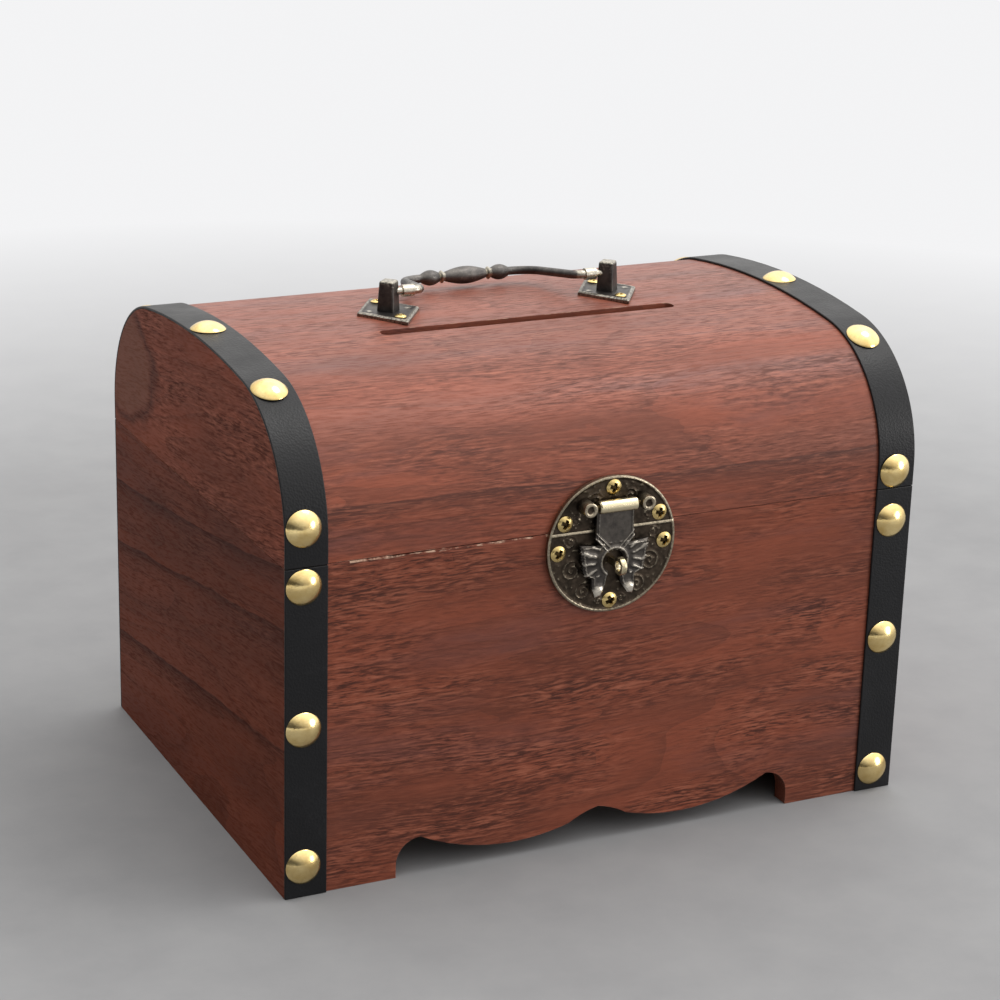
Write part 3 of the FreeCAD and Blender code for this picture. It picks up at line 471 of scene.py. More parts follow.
def bend_over_lid(bm, edges, foot):
    """Carries a section from the front foot of the lid over its arch to the back foot."""
    rise = Vector((0, 0, SPRING_HEIGHT - foot))
    over = Vector((-1, 0, 0))
    front = Vector((0, MIDDLE_Y - SHOULDER_Y, SPRING_HEIGHT))
    back = Vector((0, MIDDLE_Y + SHOULDER_Y, SPRING_HEIGHT))
    crown = Vector((0, MIDDLE_Y, CROWN_CENTRE))
    edges = carry(bm, edges, rise)
    edges = swing(bm, edges, front, over, SHOULDER_TURN, SHOULDER_STEPS)
    edges = swing(bm, edges, crown, over, math.pi - 2 * SHOULDER_TURN, CROWN_STEPS)
    edges = swing(bm, edges, back, over, SHOULDER_TURN, SHOULDER_STEPS)
    return carry(bm, edges, -rise)


def bent_strip(x_low, x_high, y_out, y_in, foot):
    """A solid strip of this width and thickness over the whole arch."""
    bm = bmesh.new()
    corners = [(x_low, y_out, foot), (x_high, y_out, foot), (x_high, y_in, foot), (x_low, y_in, foot)]
    verts = [bm.verts.new(corner) for corner in corners]
    start = [bm.edges.new(pair) for pair in zip(verts, verts[1:] + verts[:1])]
    end = bend_over_lid(bm, start, foot)
    for loop in (start, end):
        bmesh.ops.contextual_create(bm, geom=loop)
    bmesh.ops.recalc_face_normals(bm, faces=bm.faces)
    return bm


bm = bent_strip(shell_low.x, shell_high.x, shell_low.y, shell_low.y + SHELL_THICKNESS, shell_low.z)
slot_x, slot_y = SLOT_MIDDLE
for sign in (-1, 1):
    cut(bm, (slot_x + sign * SLOT_LENGTH / 2, 0, 0), (1, 0, 0))
    cut(bm, (0, slot_y + sign * SLOT_WIDTH / 2, 0), (0, 1, 0))


def over_slot(face):
    middle = face.calc_center_median()
    inside_x = abs(middle.x - slot_x) < SLOT_LENGTH / 2
    inside_y = abs(middle.y - slot_y) < SLOT_WIDTH / 2
    return inside_x and inside_y and middle.z > SPRING_HEIGHT


bmesh.ops.delete(bm, geom=[f for f in bm.faces if over_slot(f)], context="FACES")
bmesh.ops.bridge_loops(bm, edges=[e for e in bm.edges if e.is_boundary])
bmesh.ops.recalc_face_normals(bm, faces=bm.faces)


def at_slot_corner(vert):
    at_end = abs(abs(vert.co.x - slot_x) - SLOT_LENGTH / 2) < 0.01 * MM
    at_side = abs(abs(vert.co.y - slot_y) - SLOT_WIDTH / 2) < 0.01 * MM
    return at_end and at_side and vert.co.z > SPRING_HEIGHT


corners = [e for e in bm.edges if all(at_slot_corner(v) for v in e.verts)]
corners = [e for e in corners if abs(e.verts[0].co.z - e.verts[1].co.z) > SHELL_THICKNESS / 2]
round_edges(bm, corners, SLOT_ROUND, SLOT_STEPS)
ease_edges(bm, BOARD_ARRIS, LID_WEAR)
worn = bm.faces.layers.float["worn"]
for face in bm.faces:
    centre = face.calc_center_median()
    in_chips = CHIP_START < centre.x < CHIP_END and centre.y < shell_low.y + BOARD_ARRIS
    if face[worn] and not in_chips:
        face[worn] = SLOT_WEAR if centre.z > SPRING_HEIGHT and centre.y < MIDDLE_Y else 0.0
    spring_y = max(-SHOULDER_Y, min(SHOULDER_Y, centre.y - MIDDLE_Y)) + MIDDLE_Y
    inward = Vector((0, spring_y - centre.y, SPRING_HEIGHT - centre.z))
    if face.normal.dot(inward.normalized()) > 0.6:
        face.material_index = 1
lid_stain = (LID_TONE, LID_PLUM, LID_SHEEN, LID_PORE)
lid_wood = stained_wood("lid_wood", ALONG_BOX, LID_SHIFT, *lid_stain, LID_YEARS)
show("lid_board", bm, [lid_wood, inside_walls], "lid", "stained_wood", "lid_shell")


# Straps: strips of black leatherette with a fine pressed grain, cut square and glued down flush with
# the ends of the box. The lid's straps run over the arch and meet those of the base at the seam.
STRAP_EDGE = 0.3 * MM
STRAP_BLACK = (0.0050, 0.0052, 0.0064)
STRAP_SCUFF = (0.012, 0.012, 0.0145)
STRAP_CUT = (0.012, 0.011, 0.011)
STRAP_SHEEN = 0.28
leatherette, surface, place = new_finish("leatherette")
scuffs = cloudy(place, 55, 5.0, 0.65)
scuffed = times(between(scuffs, 0.5, 0.72), between(cloudy(place, 900), 0.3, 0.7))
worn_edge = times(worn_marks(place), between(scuffs, 0.40, 0.62, 0.1, 0.75))
skin = mixed(scuffed, STRAP_BLACK, STRAP_SCUFF)
pebbles = {"Vector": place, "Scale": 1500.0, "Randomness": 1.0}
pebbles = add_node(tree_of(place), "TexVoronoi", pebbles).outputs["Distance"]
look = {
    "Base Color": mixed(worn_edge, skin, STRAP_CUT),
    "Roughness": between(scuffs, 0.3, 0.7, 0.38, 0.52),
    "Specular IOR Level": STRAP_SHEEN,
    "Normal": bumped(plus(pebbles, times(scuffs, 2.0)), 0.22, 0.25 * MM),
}
feed(surface, look)

for side in ("left", "right"):
    for face in ("front", "rear"):
        node = f"{face}_strap_{side}"
        bm = square_board(node)
        ease_edges(bm, STRAP_EDGE, 1.0)
        show(f"{face}_strap_of_base_{side}", bm, [leatherette], "base", "strap_leatherette", node)
    node = f"lid_strap_{side}"
    low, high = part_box(node)
    bm = bent_strip(low.x, high.x, low.y, shell_low.y, low.z)
    ease_edges(bm, STRAP_EDGE, 1.0)
    show(f"strap_over_lid_{side}", bm, [leatherette], "lid", "strap_leatherette", node)


# Tacks: domed upholstery tacks of polished brass, pressed from sheet, with a small lip round the dome.
# They are driven through the straps by hand, so each one sits a little differently.
TACK_RADIUS = 5.2 * MM
TACK_DOME = 2.35 * MM
TACK_LIP = 0.25 * MM
TACK_SHANK = 0.8 * MM
TACK_LENGTH = 4.6 * MM
TACK_TILT = math.radians(2)
DOME_RINGS = 14
TURN_STEPS = 40
BRASS = (0.88, 0.69, 0.33)
BRASS_DEEP = (0.68, 0.48, 0.18)
BRASS_SMUDGE = (0.42, 0.30, 0.11)
STRAP_THICKNESS = shell_low.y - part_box("lid_strap_left")[0].y
tack_brass, surface, place = new_finish("tack_brass")
clouds = cloudy(place, 190, 3.0, 0.6)
fingers = cloudy(place, 700, 4.0, 0.7)
colour = mixed(between(clouds, 0.35, 0.7), BRASS, BRASS_DEEP)
look = {
    "Base Color": mixed(between(fingers, 0.56, 0.72, 0.0, 0.35), colour, BRASS_SMUDGE),
    "Metallic": 1.0,
    "Roughness": between(fingers, 0.35, 0.7, 0.13, 0.26),
    "Normal": bumped(clouds, 0.25, 0.5 * MM),
}
feed(surface, look)


def turned(profile, steps=TURN_STEPS):
    """A solid turned on the Z axis from its profile of (radius, height), from one end to the other."""
    bm = bmesh.new()
    verts = [bm.verts.new((radius, 0, height)) for radius, height in profile]
    edges = [bm.edges.new(pair) for pair in zip(verts, verts[1:])]
    round_z = {"cent": (0, 0, 0), "axis": (0, 0, 1), "angle": math.tau}
    bmesh.ops.spin(bm, geom=verts + edges, steps=steps, use_merge=True, **round_z)
    bmesh.ops.remove_doubles(bm, verts=bm.verts, dist=0.002 * MM)
    bmesh.ops.recalc_face_normals(bm, faces=bm.faces)
    return bm


def dome(radius, start, height):
    """Profile points over a dome, from its edge at start to its top."""
    rise = height - start
    sphere = (radius**2 + rise**2) / (2 * rise)
    widest = math.asin(radius / sphere)
    angles = [widest * (1 - i / DOME_RINGS) for i in range(DOME_RINGS + 1)]
    return [(sphere * math.sin(a), height - sphere * (1 - math.cos(a))) for a in angles]


def solids_of(name):
    """The middle of each separate solid of a node."""
    bm = copied(name)
    left = set(bm.verts)
    middles = []
    while left:
        island = {left.pop()}
        edge = set(island)
        while edge:
            edge = {e.other_vert(v) for v in edge for e in v.link_edges} - island
            island |= edge
        left -= island
        low = [min(v.co[i] for v in island) for i in range(3)]
        high = [max(v.co[i] for v in island) for i in range(3)]
        middles.append((Vector(low) + Vector(high)) / 2)
    bm.free()
    return sorted(middles, key=lambda m: tuple(round(c, 5) for c in m))


def on_lid_strap(point):
    """The spot of the lid strap's face nearest to a point, and the way that the face looks there."""
    across = point.y - MIDDLE_Y
    if abs(across) > SHOULDER_Y:
        centre = Vector((point.x, MIDDLE_Y + math.copysign(SHOULDER_Y, across), SPRING_HEIGHT))
        radius = SHOULDER_RADIUS
    else:
        centre = Vector((point.x, MIDDLE_Y, CROWN_CENTRE))
        radius = CROWN_RADIUS
    outward = (point - centre).normalized()
    return centre + outward * (radius + STRAP_THICKNESS), outward


def set_in(bm, mesh, spot, outward, spin=0.0, tilt=0.0, lean=0.0):
    """Adds a copy of a fastener, standing on a spot with its head turned outwards."""
    already = len(bm.verts)
    bm.from_mesh(mesh)
    bm.verts.ensure_lookup_table()
    upright = outward.to_track_quat("Z", "Y").to_matrix().to_4x4()
    slant = Matrix.Rotation(tilt, 4, Vector((math.cos(lean), math.sin(lean), 0)))
    whole = Matrix.Translation(spot) @ upright @ slant @ Matrix.Rotation(spin, 4, "Z")
    bmesh.ops.transform(bm, matrix=whole, verts=bm.verts[already:])


tack_profile = [(0, -TACK_LENGTH), (TACK_SHANK, TACK_SHANK - TACK_LENGTH), (TACK_SHANK, -0.02 * MM)]
tack_profile += [(0.96 * TACK_RADIUS, -0.02 * MM), (TACK_RADIUS, 0.12 * MM)]
tack_profile += dome(0.985 * TACK_RADIUS, TACK_LIP, TACK_DOME)
tack = as_mesh(turned(tack_profile), "tack")
front_strap_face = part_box("front_strap_left")[0].y
rear_strap_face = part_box("rear_strap_left")[1].y
TACK_GROUPS = (
    ("front_tacks", "base", lambda m: (Vector((m.x, front_strap_face, m.z)), Vector((0, -1, 0)))),
    ("rear_tacks", "base", lambda m: (Vector((m.x, rear_strap_face, m.z)), Vector((0, 1, 0)))),
    ("lid_tacks_left", "lid", on_lid_strap),
    ("lid_tacks_right", "lid", on_lid_strap),
)
for node, body, seat in TACK_GROUPS:
    bm = bmesh.new()
    for middle in solids_of(node):
        spot, outward = seat(middle)
        tilt = rng.uniform(0, TACK_TILT)
        set_in(bm, tack, spot, outward, rng.uniform(0, math.tau), tilt, rng.uniform(0, math.tau))
    show(f"brass_{node}", bm, [tack_brass], body, "tack_brass", node)


# Latch plate of the base: the lower part of a round plate, stamped from thin brass with a raised rim
# and faint scrolls, then blackened and rubbed so that the brass shows on the high spots.
RIM_WIDTH = 0.8 * MM
RIM_RISE = 0.5 * MM
PLATE_THICKNESS = 1.0 * MM
PLATE_STEP = 0.32 * MM
SCROLL_RISE = 0.30 * MM
LEAF_RISE = 0.22 * MM
BRONZE_DARK = (0.036, 0.028, 0.021)
BRONZE_BROWN = (0.070, 0.053, 0.039)
BRONZE_BRIGHT = (0.42, 0.36, 0.265)
RIM_LOOPS = (0.15 * MM, 0.25 * MM, 0.25 * MM, 0.2 * MM, 0.2 * MM)
ROUND_STEPS = 72
lower_low, lower_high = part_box("latch_lower_plate")
LATCH_RADIUS = (lower_high.x - lower_low.x) / 2
LATCH_X = (lower_low.x + lower_high.x) / 2
LATCH_Z = lower_low.z + LATCH_RADIUS
FRONT_FACE = front_low.y
TO_FRONT = Vector((0, -1, 0))


def rubbed_bronze(name, dark, brown, bright, rub_from, rub_to):
    """Blackened metal that is rubbed bright where its mesh is marked as worn."""
    finish, surface, place = new_finish(name)
    tarnish = cloudy(place, 320, 4.0, 0.65)
    specks = cloudy(place, 1500, 3.0, 0.7)
    handled = plus(worn_marks(place), between(specks, 0.3, 0.7, -0.22, 0.22))
    rubbed = between(handled, rub_from, rub_to)
    ground = mixed(between(tarnish, 0.38, 0.66), dark, brown)
    look = {
        "Base Color": mixed(rubbed, ground, bright),
        "Metallic": 1.0,
        "Roughness": between(rubbed, 0.0, 1.0, 0.46, 0.27),
        "Normal": bumped(plus(tarnish, times(specks, 0.5)), 0.3, 0.25 * MM),
    }
    feed(surface, look)
    return finish


plate_bronze = rubbed_bronze("plate_bronze", BRONZE_DARK, BRONZE_BROWN, BRONZE_BRIGHT, 0.45, 1.0)


def eased(share):
    share = max(0.0, min(1.0, share))
    return share * share * (3 - 2 * share)


def relief_plate(outline, step, relief, thickness, loops=()):
    """A plate with relief on its face. Its outline lies across X and Y, and it faces Z. The relief gives
    the height of the face at a spot, and how worn it is there. Loops run inside the outline."""
    bm = bmesh.new()
    worn = bm.verts.layers.float.new("worn")
    face = bm.faces.new([bm.verts.new((x, y, 0)) for x, y in outline])
    for width in loops:
        bmesh.ops.inset_region(bm, faces=[face], thickness=width, use_even_offset=True)
    for axis, direction in ((0, (1, 0, 0)), (1, (0, 1, 0))):
        places = [point[axis] for point in outline]
        count = int((max(places) - min(places)) / step)
        for i in range(1, count + 1):
            cut(bm, Vector(direction) * (min(places) + i * step), direction)
    for vert in bm.verts:
        vert.co.z, vert[worn] = relief(vert.co.x, vert.co.y)
    rim = [e for e in bm.edges if e.is_boundary]
    back = carry(bm, rim, (0, 0, 0))
    for vert in {v for e in back for v in e.verts}:
        vert.co.z = -thickness
    bmesh.ops.contextual_create(bm, geom=back)
    bmesh.ops.recalc_face_normals(bm, faces=bm.faces)
    return bm


def scroll_ridge(x, y, scrolls):
    """Height, from 0 to 1, of spiral ridges of (x, y, size), in pairs on both sides of the middle."""
    height = 0.0
    for scroll_x, scroll_y, scroll_size in scrolls:
        across, up = abs(x) - scroll_x, y - scroll_y
        distance = math.hypot(across, up)
        if distance > scroll_size:
            continue
        turn = math.atan2(up, across) / math.tau
        crest = abs((distance / (0.44 * scroll_size) - turn) % 1 - 0.5)
        height = max(height, eased(1 - crest / 0.30) * eased(3 * (1 - distance / scroll_size)))
    return height


def latch_relief(scrolls, chord=None):
    """Relief of a latch plate, with its rim along the round edge, and along a chord if one is given."""

    def relief(x, y):
        inset = LATCH_RADIUS - math.hypot(x, y)
        if chord is not None:
            inset = min(inset, chord - y)
        rim = eased((RIM_WIDTH + 0.25 * MM - inset) / (0.4 * MM))
        corner = eased(1 - inset / (0.3 * MM))
        scroll = scroll_ridge(x, y, scrolls)
        leaf = max(0.0, noise.noise(Vector((abs(x), y, 0)) * 820)) * (1 - rim)
        height = RIM_RISE * rim - 0.25 * MM * corner + SCROLL_RISE * scroll * (1 - rim)
        return height + LEAF_RISE * leaf, max(0.84 * rim, 0.7 * scroll, 1.05 * leaf)

    return relief


def against_front(x, z, out=0.0):
    """Places a fitting that faces Z so that it faces the front, on the face of the front board."""
    columns = ((1, 0, 0, x), (0, 0, -1, FRONT_FACE - out), (0, 1, 0, z), (0, 0, 0, 1))
    return Matrix(columns)


def latch_plate(start, stop, steps, scrolls, chord=None):
    """The part of the round plate between two angles, in its place on the front."""
    angles = [start + (stop - start) * i / steps for i in range(steps + 1)]
    outline = [(LATCH_RADIUS * math.cos(a), LATCH_RADIUS * math.sin(a)) for a in angles]
    bm = relief_plate(outline, PLATE_STEP, latch_relief(scrolls, chord), PLATE_THICKNESS, RIM_LOOPS)
    bmesh.ops.transform(bm, matrix=against_front(LATCH_X, LATCH_Z, PLATE_THICKNESS), verts=bm.verts)
    return bm


def in_metres(scrolls):
    return [[part * MM for part in scroll] for scroll in scrolls]


LOWER_SCROLLS = in_metres(((12.4, -6.6, 4.0), (8.6, -13.2, 3.4), (13.2, 1.9, 2.4), (3.6, -16.6, 1.6)))
chord = lower_high.z - LATCH_Z
corner = math.asin(chord / LATCH_RADIUS)
bm = latch_plate(math.pi - corner, math.tau + corner, ROUND_STEPS, LOWER_SCROLLS, chord)
show("latch_plate_of_base", bm, [plate_bronze], "base", "antique_bronze", "latch_lower_plate")


# Latch plate of the lid: the upper part of the same round plate. Two turned posts with hollow ends are
# riveted to it and hold the pin on which the hasp swings.
POST_RADIUS = 2.2 * MM
POST_LENGTH = 5.8 * MM
POST_HOLLOW = 1.25 * MM
POST_SPACING = 9.2 * MM
ROD_SIDES = 28


def joint_place(name):
    return Vector(next(j for j in frame["joints"] if j["name"] == name)["pos_m"])


HASP_AXIS = joint_place("hasp_swing")
UPPER_SCROLLS = in_metres(((5.6, 13.6, 2.9), (11.6, 8.2, 2.4), (16.0, 7.3, 1.4)))


def mark_worn(bm, wear):
    """Marks each vertex as worn by what the wear gives for its place."""
    worn = bm.verts.layers.float.new("worn")
    for vert in bm.verts:
        vert[worn] = wear(vert.co)


def latch_post_wear(place):
    on_end = place.z > POST_LENGTH - 0.6 * MM
    return 0.95 if on_end and math.hypot(place.x, place.y) > 0.9 * POST_HOLLOW else 0.15


corner = math.asin((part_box("latch_upper_plate")[0].z - LATCH_Z) / LATCH_RADIUS)
bm = latch_plate(corner, math.pi - corner, ROUND_STEPS // 2, UPPER_SCROLLS)
post_profile = [
    (0, 0.2 * MM),
    (POST_RADIUS, 0.2 * MM),
    (POST_RADIUS, POST_LENGTH - 0.5 * MM),
    (POST_RADIUS - 0.15 * MM, POST_LENGTH - 0.15 * MM),
    (POST_RADIUS - 0.5 * MM, POST_LENGTH),
    (POST_HOLLOW, POST_LENGTH - 0.1 * MM),
    (0.6 * POST_HOLLOW, POST_LENGTH - 0.75 * MM),
    (0, POST_LENGTH - 0.9 * MM),
]
post = turned(post_profile, ROD_SIDES)
mark_worn(post, latch_post_wear)
post_mesh = as_mesh(post, "latch_post")
for sign in (-1, 1):
    spot = Vector((HASP_AXIS.x + sign * POST_SPACING, FRONT_FACE, HASP_AXIS.z))
    set_in(bm, post_mesh, spot, TO_FRONT)
show("latch_plate_of_lid", bm, [plate_bronze], "lid", "antique_bronze", "latch_upper_plate")


# Latch screws: small brass screws with domed heads and a cross recess, three in each plate. Their heads
# are bright, and their recess is coloured dark.
SCREW_SHANK = 0.9 * MM
SCREW_LENGTH = 4.2 * MM
SCREW_STEPS = 32
LATCH_SCREW_HEAD = (2.4 * MM, 1.05 * MM)
CROSS_HALF_WIDTH = 0.24
CROSS_REACH = 0.60
CROSS_DEPTH = 0.75
SCREW_BRASS = (0.70, 0.53, 0.225)
SCREW_DARK = (0.030, 0.021, 0.010)
SCREW_BROWN = (0.09, 0.06, 0.025)
screw_brass = rubbed_bronze("screw_brass", SCREW_DARK, SCREW_BROWN, SCREW_BRASS, 0.15, 0.75)


def cross_screw(head, height):
    """A screw with a cross cut into its domed head."""
    profile = [(0, -SCREW_LENGTH), (SCREW_SHANK, SCREW_SHANK - SCREW_LENGTH), (SCREW_SHANK, 0)]
    profile += [(0.97 * head, 0), (head, 0.12 * height)]
    profile += dome(0.98 * head, 0.3 * height, height)
    bm = turned(profile, SCREW_STEPS)
    mark_worn(bm, lambda place: 0.95)
    worn = bm.verts.layers.float["worn"]
    arm, reach = CROSS_HALF_WIDTH * head, CROSS_REACH * head
    for place in (-reach, -arm, arm, reach):
        for direction in ((1, 0, 0), (0, 1, 0)):
            cap = [f for f in bm.faces if f.calc_center_median().z > 0.3 * height]
            cut(bm, Vector(direction) * place, direction, cap)
    recess = []
    for face in bm.faces:
        middle = face.calc_center_median()
        near, far = sorted((abs(middle.x), abs(middle.y)))
        if near < arm and far < reach and middle.z > 0.3 * height:
            recess.append(face)
    sunk = bmesh.ops.extrude_face_region(bm, geom=recess)["geom"]
    bmesh.ops.delete(bm, geom=[f for f in recess if f.is_valid], context="FACES_ONLY")
    # The vertices of the cross recess are marked unworn, so the recess takes the dark colour.
    for vert in sunk:
        if isinstance(vert, bmesh.types.BMVert):
            vert.co = (0.7 * vert.co.x, 0.7 * vert.co.y, vert.co.z - CROSS_DEPTH * height)
            vert[worn] = 0.0
    bmesh.ops.recalc_face_normals(bm, faces=bm.faces)
    return as_mesh(bm, "cross_screw")


def seat_screws(name, mesh, node, body, outward, seat):
    """Sets a screw in the place of each solid of a node, with its head on the seat."""
    bm = bmesh.new()
    axis = [i for i in range(3) if outward[i]][0]
    for middle in solids_of(node):
        middle[axis] = seat
        set_in(bm, mesh, middle, outward, rng.uniform(0, math.tau))
    show(name, bm, [screw_brass], body, "screw_brass", node)


latch_screw = cross_screw(*LATCH_SCREW_HEAD)
plate_face = FRONT_FACE - PLATE_THICKNESS
for body, plate in (("base", "lower"), ("lid", "upper")):
    node = f"latch_{plate}_screws"
    seat_screws(f"screws_of_latch_{body}", latch_screw, node, body, TO_FRONT, plate_face)


# Hasp pin: a plain brass wire, pushed through the two posts and riveted over at both ends. The hasp
# keeps it bright.
PIN_END = 0.2 * MM
bm = copied("hasp_pin")
ease_edges(bm, PIN_END, 1.0)
show("hasp_wire", bm, [screw_brass], "lid", "antique_bronze", "hasp_pin")


# Hasp: a small brass casting that hangs over the staple. A flat strap ends in a chevron above two
# veined wings and two tails, with an eye open between the tails. It is blackened and rubbed.
HASP_STEP = 0.22 * MM
HASP_EYE_DROP = 16.9 * MM
HASP_EYE = 3.4 * MM
HASP_THICKNESS = 1.2 * MM
HASP_NECK = 2.0 * MM
CHEVRON_HALF = 6.2 * MM
CHEVRON_DROP = 10.0 * MM
CHEVRON_SLOPE = 1.04
WING_TOP = 11.0 * MM
WING_FOOT = 21.0 * MM
TAIL_TIP = (4.9 * MM, -26.0 * MM)
NOTCH_SPACING = 0.9 * MM
NOTCH_DEPTH = 0.4 * MM
WING_EDGE = 9.0 * MM
HASP_DARK = (0.060, 0.054, 0.050)
HASP_BROWN = (0.110, 0.098, 0.086)
HASP_BRIGHT = (0.60, 0.55, 0.47)
hasp_bronze = rubbed_bronze("hasp_bronze", HASP_DARK, HASP_BROWN, HASP_BRIGHT, 0.40, 1.0)


def edge_distance(x, y, outline):
    """How far a spot is from the nearest edge of an outline."""
    spot = Vector((x, y))
    nearest = 1.0
    for start, stop in zip(outline, outline[1:] + outline[:1]):
        along = Vector(stop) - Vector(start)
        if along.length_squared == 0:
            continue
        share = max(0.0, min(1.0, (spot - Vector(start)).dot(along) / along.length_squared))
        nearest = min(nearest, (Vector(start) + along * share - spot).length)
    return nearest


def notched(outline):
    """The outline with a row of small notches cast along the outer edges of the wings."""
    points = []
    for start, stop in zip(outline, outline[1:] + outline[:1]):
        points.append(start)
        if min(abs(start[0]), abs(stop[0])) < WING_EDGE:
            continue
        along = Vector(stop) - Vector(start)
        count = 2 * round(along.length / NOTCH_SPACING)
        for i in range(1, count):
            x, y = Vector(start) + along * i / count
            points.append((x - math.copysign(NOTCH_DEPTH, x) if i % 2 else x, y))
    return points


flap = copied("hasp_flap")
flat = [f for f in flap.faces if f.normal.dot(TO_FRONT) > 0.99]
hasp_face = [v.co.copy() for v in max(flat, key=lambda f: f.calc_area()).verts]
flap.free()
hasp_outline = [(p.x - HASP_AXIS.x, p.z - HASP_AXIS.z) for p in hasp_face]
hasp_outline = notched([(x, 0.0 if y > -HASP_NECK else y) for x, y in hasp_outline])


def hasp_relief(x, y):
    inset = edge_distance(x, y, hasp_outline)
    to_eye = math.hypot(x, y + HASP_EYE_DROP)
    border = eased(1 - abs(inset - 0.6 * MM) / (0.4 * MM))
    corner = eased(1 - inset / (0.45 * MM))
    chevron = y + CHEVRON_DROP + (CHEVRON_HALF - abs(x)) * CHEVRON_SLOPE
    fold = max(eased(1 - abs(chevron - place) / (0.55 * MM)) for place in (0.5 * MM, 2.2 * MM))
    fold *= eased(1.2 - (y + WING_TOP) / (-14 * MM)) if y < -WING_TOP else 1.0
    ring = eased(1 - abs(to_eye - HASP_EYE - 0.8 * MM) / (0.7 * MM))
    angle = math.atan2(y + HASP_EYE_DROP, abs(x))
    on_wing = eased((to_eye - 5.2 * MM) / (1.2 * MM)) if -WING_FOOT < y < -WING_TOP else 0.0
    sway = 1.6 * noise.noise(Vector((x, y, 0)) * 420)
    vein = (0.5 + 0.5 * math.cos(19 * angle + sway)) ** 2 * on_wing
    tip = eased(1.35 - math.hypot(abs(x) - TAIL_TIP[0], y - TAIL_TIP[1]) / (2.6 * MM))
    raised = max(0.7 * border, 0.8 * fold, 0.8 * ring, 0.75 * vein, 1.3 * tip)
    height = 0.55 * MM * raised - 0.35 * MM * corner
    return height, max(0.72 * border, 0.85 * fold, 0.7 * ring, 0.78 * vein, 1.2 * tip)


bm = relief_plate(hasp_outline, HASP_STEP, hasp_relief, HASP_THICKNESS)
in_front = against_front(HASP_AXIS.x, HASP_AXIS.z, FRONT_FACE - hasp_face[0].y)
bmesh.ops.transform(bm, matrix=in_front, verts=bm.verts)
show("hasp_casting", bm, [hasp_bronze], "hasp", "antique_bronze", "hasp_flap")


# Hasp barrel: the knuckle at the top of the casting, which turns on the pin. It is filed round, its
# ends are rounded over, and it is rubbed bright.
BARREL_RADIUS = 1.9 * MM
BARREL_HALF = 6.0 * MM
BARREL_BORE = 0.85 * MM
BARREL_END = 0.35 * MM
BARREL_BROWN = (0.16, 0.12, 0.06)
BARREL_BRIGHT = (0.70, 0.61, 0.41)
barrel_brass = rubbed_bronze("barrel_brass", SCREW_DARK, BARREL_BROWN, BARREL_BRIGHT, 0.1, 0.7)
right_half = [(BARREL_BORE, BARREL_HALF), (BARREL_RADIUS - BARREL_END, BARREL_HALF)]
right_half += [(BARREL_RADIUS, BARREL_HALF - BARREL_END)]
left_half = [(radius, -place) for radius, place in right_half[::-1]]
bm = turned(right_half + left_half + right_half[:1], SCREW_STEPS)
mark_worn(bm, lambda place: 0.9 if math.hypot(place.x, place.y) > 1.2 * BARREL_BORE else 0.1)
along_box = Matrix.Translation(HASP_AXIS) @ Matrix.Rotation(QUARTER, 4, "Y")
bmesh.ops.transform(bm, matrix=along_box, verts=bm.verts)
show("hasp_barrel", bm, [barrel_brass], "hasp", "antique_bronze")


# Padlock staple: a flat brass eye with rounded edges, driven through the lower plate into the front
# board. The shackle of a small padlock goes through it, so it is rubbed bright.
STAPLE_ROUNDING = 0.55 * MM
bm = copied("padlock_staple")
ease_edges(bm, STAPLE_ROUNDING, 1.0)
worn = bm.faces.layers.float["worn"]
for face in bm.faces:
    face[worn] = 0.85 if face[worn] else 0.55
show("staple_eye", bm, [barrel_brass], "base", "antique_bronze", "padlock_staple")


# Handle plates: two cast diamond plates with a raised edge and a square post on each, set cornerwise.
# They are blackened brass, with bright specks along the edges.
DIAMOND_STEP = 0.45 * MM
DIAMOND_BORDER = 1.5 * MM
POST_FOOT = 3.9 * MM
POST_HEAD = 3.2 * MM
POST_EDGE = 0.7 * MM
POST_EDGE_STEPS = 4
BOSS_DISTANCE = 0.62
HANDLE_SCREW_SEAT = 2.3 * MM
HANDLE_SCREW_PLACE = 9 * MM
HANDLE_DARK = (0.056, 0.052, 0.051)
HANDLE_BROWN = (0.104, 0.095, 0.088)
HANDLE_BRIGHT = (0.52, 0.48, 0.40)
HANDLE_THICKNESS = 1.2 * MM
HANDLE_SUNK = 0.3 * HANDLE_THICKNESS
UP = Vector((0, 0, 1))
handle_bronze = rubbed_bronze("handle_bronze", HANDLE_DARK, HANDLE_BROWN, HANDLE_BRIGHT, 0.5, 1.0)


def diamond_relief(half_x, half_y):
    slope = math.hypot(half_x, half_y)

    def relief(x, y):
        inset = half_x * half_y * (1 - abs(x) / half_x - abs(y) / half_y) / slope
        border = eased((DIAMOND_BORDER - inset) / (0.5 * MM))
        corner = eased(1 - inset / (0.5 * MM))
        boss = eased(1.3 - math.hypot(abs(x) - BOSS_DISTANCE * half_x, y) / (1.4 * MM))
        seat = eased(3 - math.hypot(x, abs(y) - HANDLE_SCREW_PLACE) / (0.34 * HANDLE_SCREW_SEAT))
        raised = max(border, boss) * (1 - seat)
        height = 0.35 * MM * raised - 0.45 * MM * corner - 0.3 * MM
        return height + 0.3 * MM * seat, max(0.68 * border, 0.8 * boss) * (1 - 0.5 * seat)

    return relief


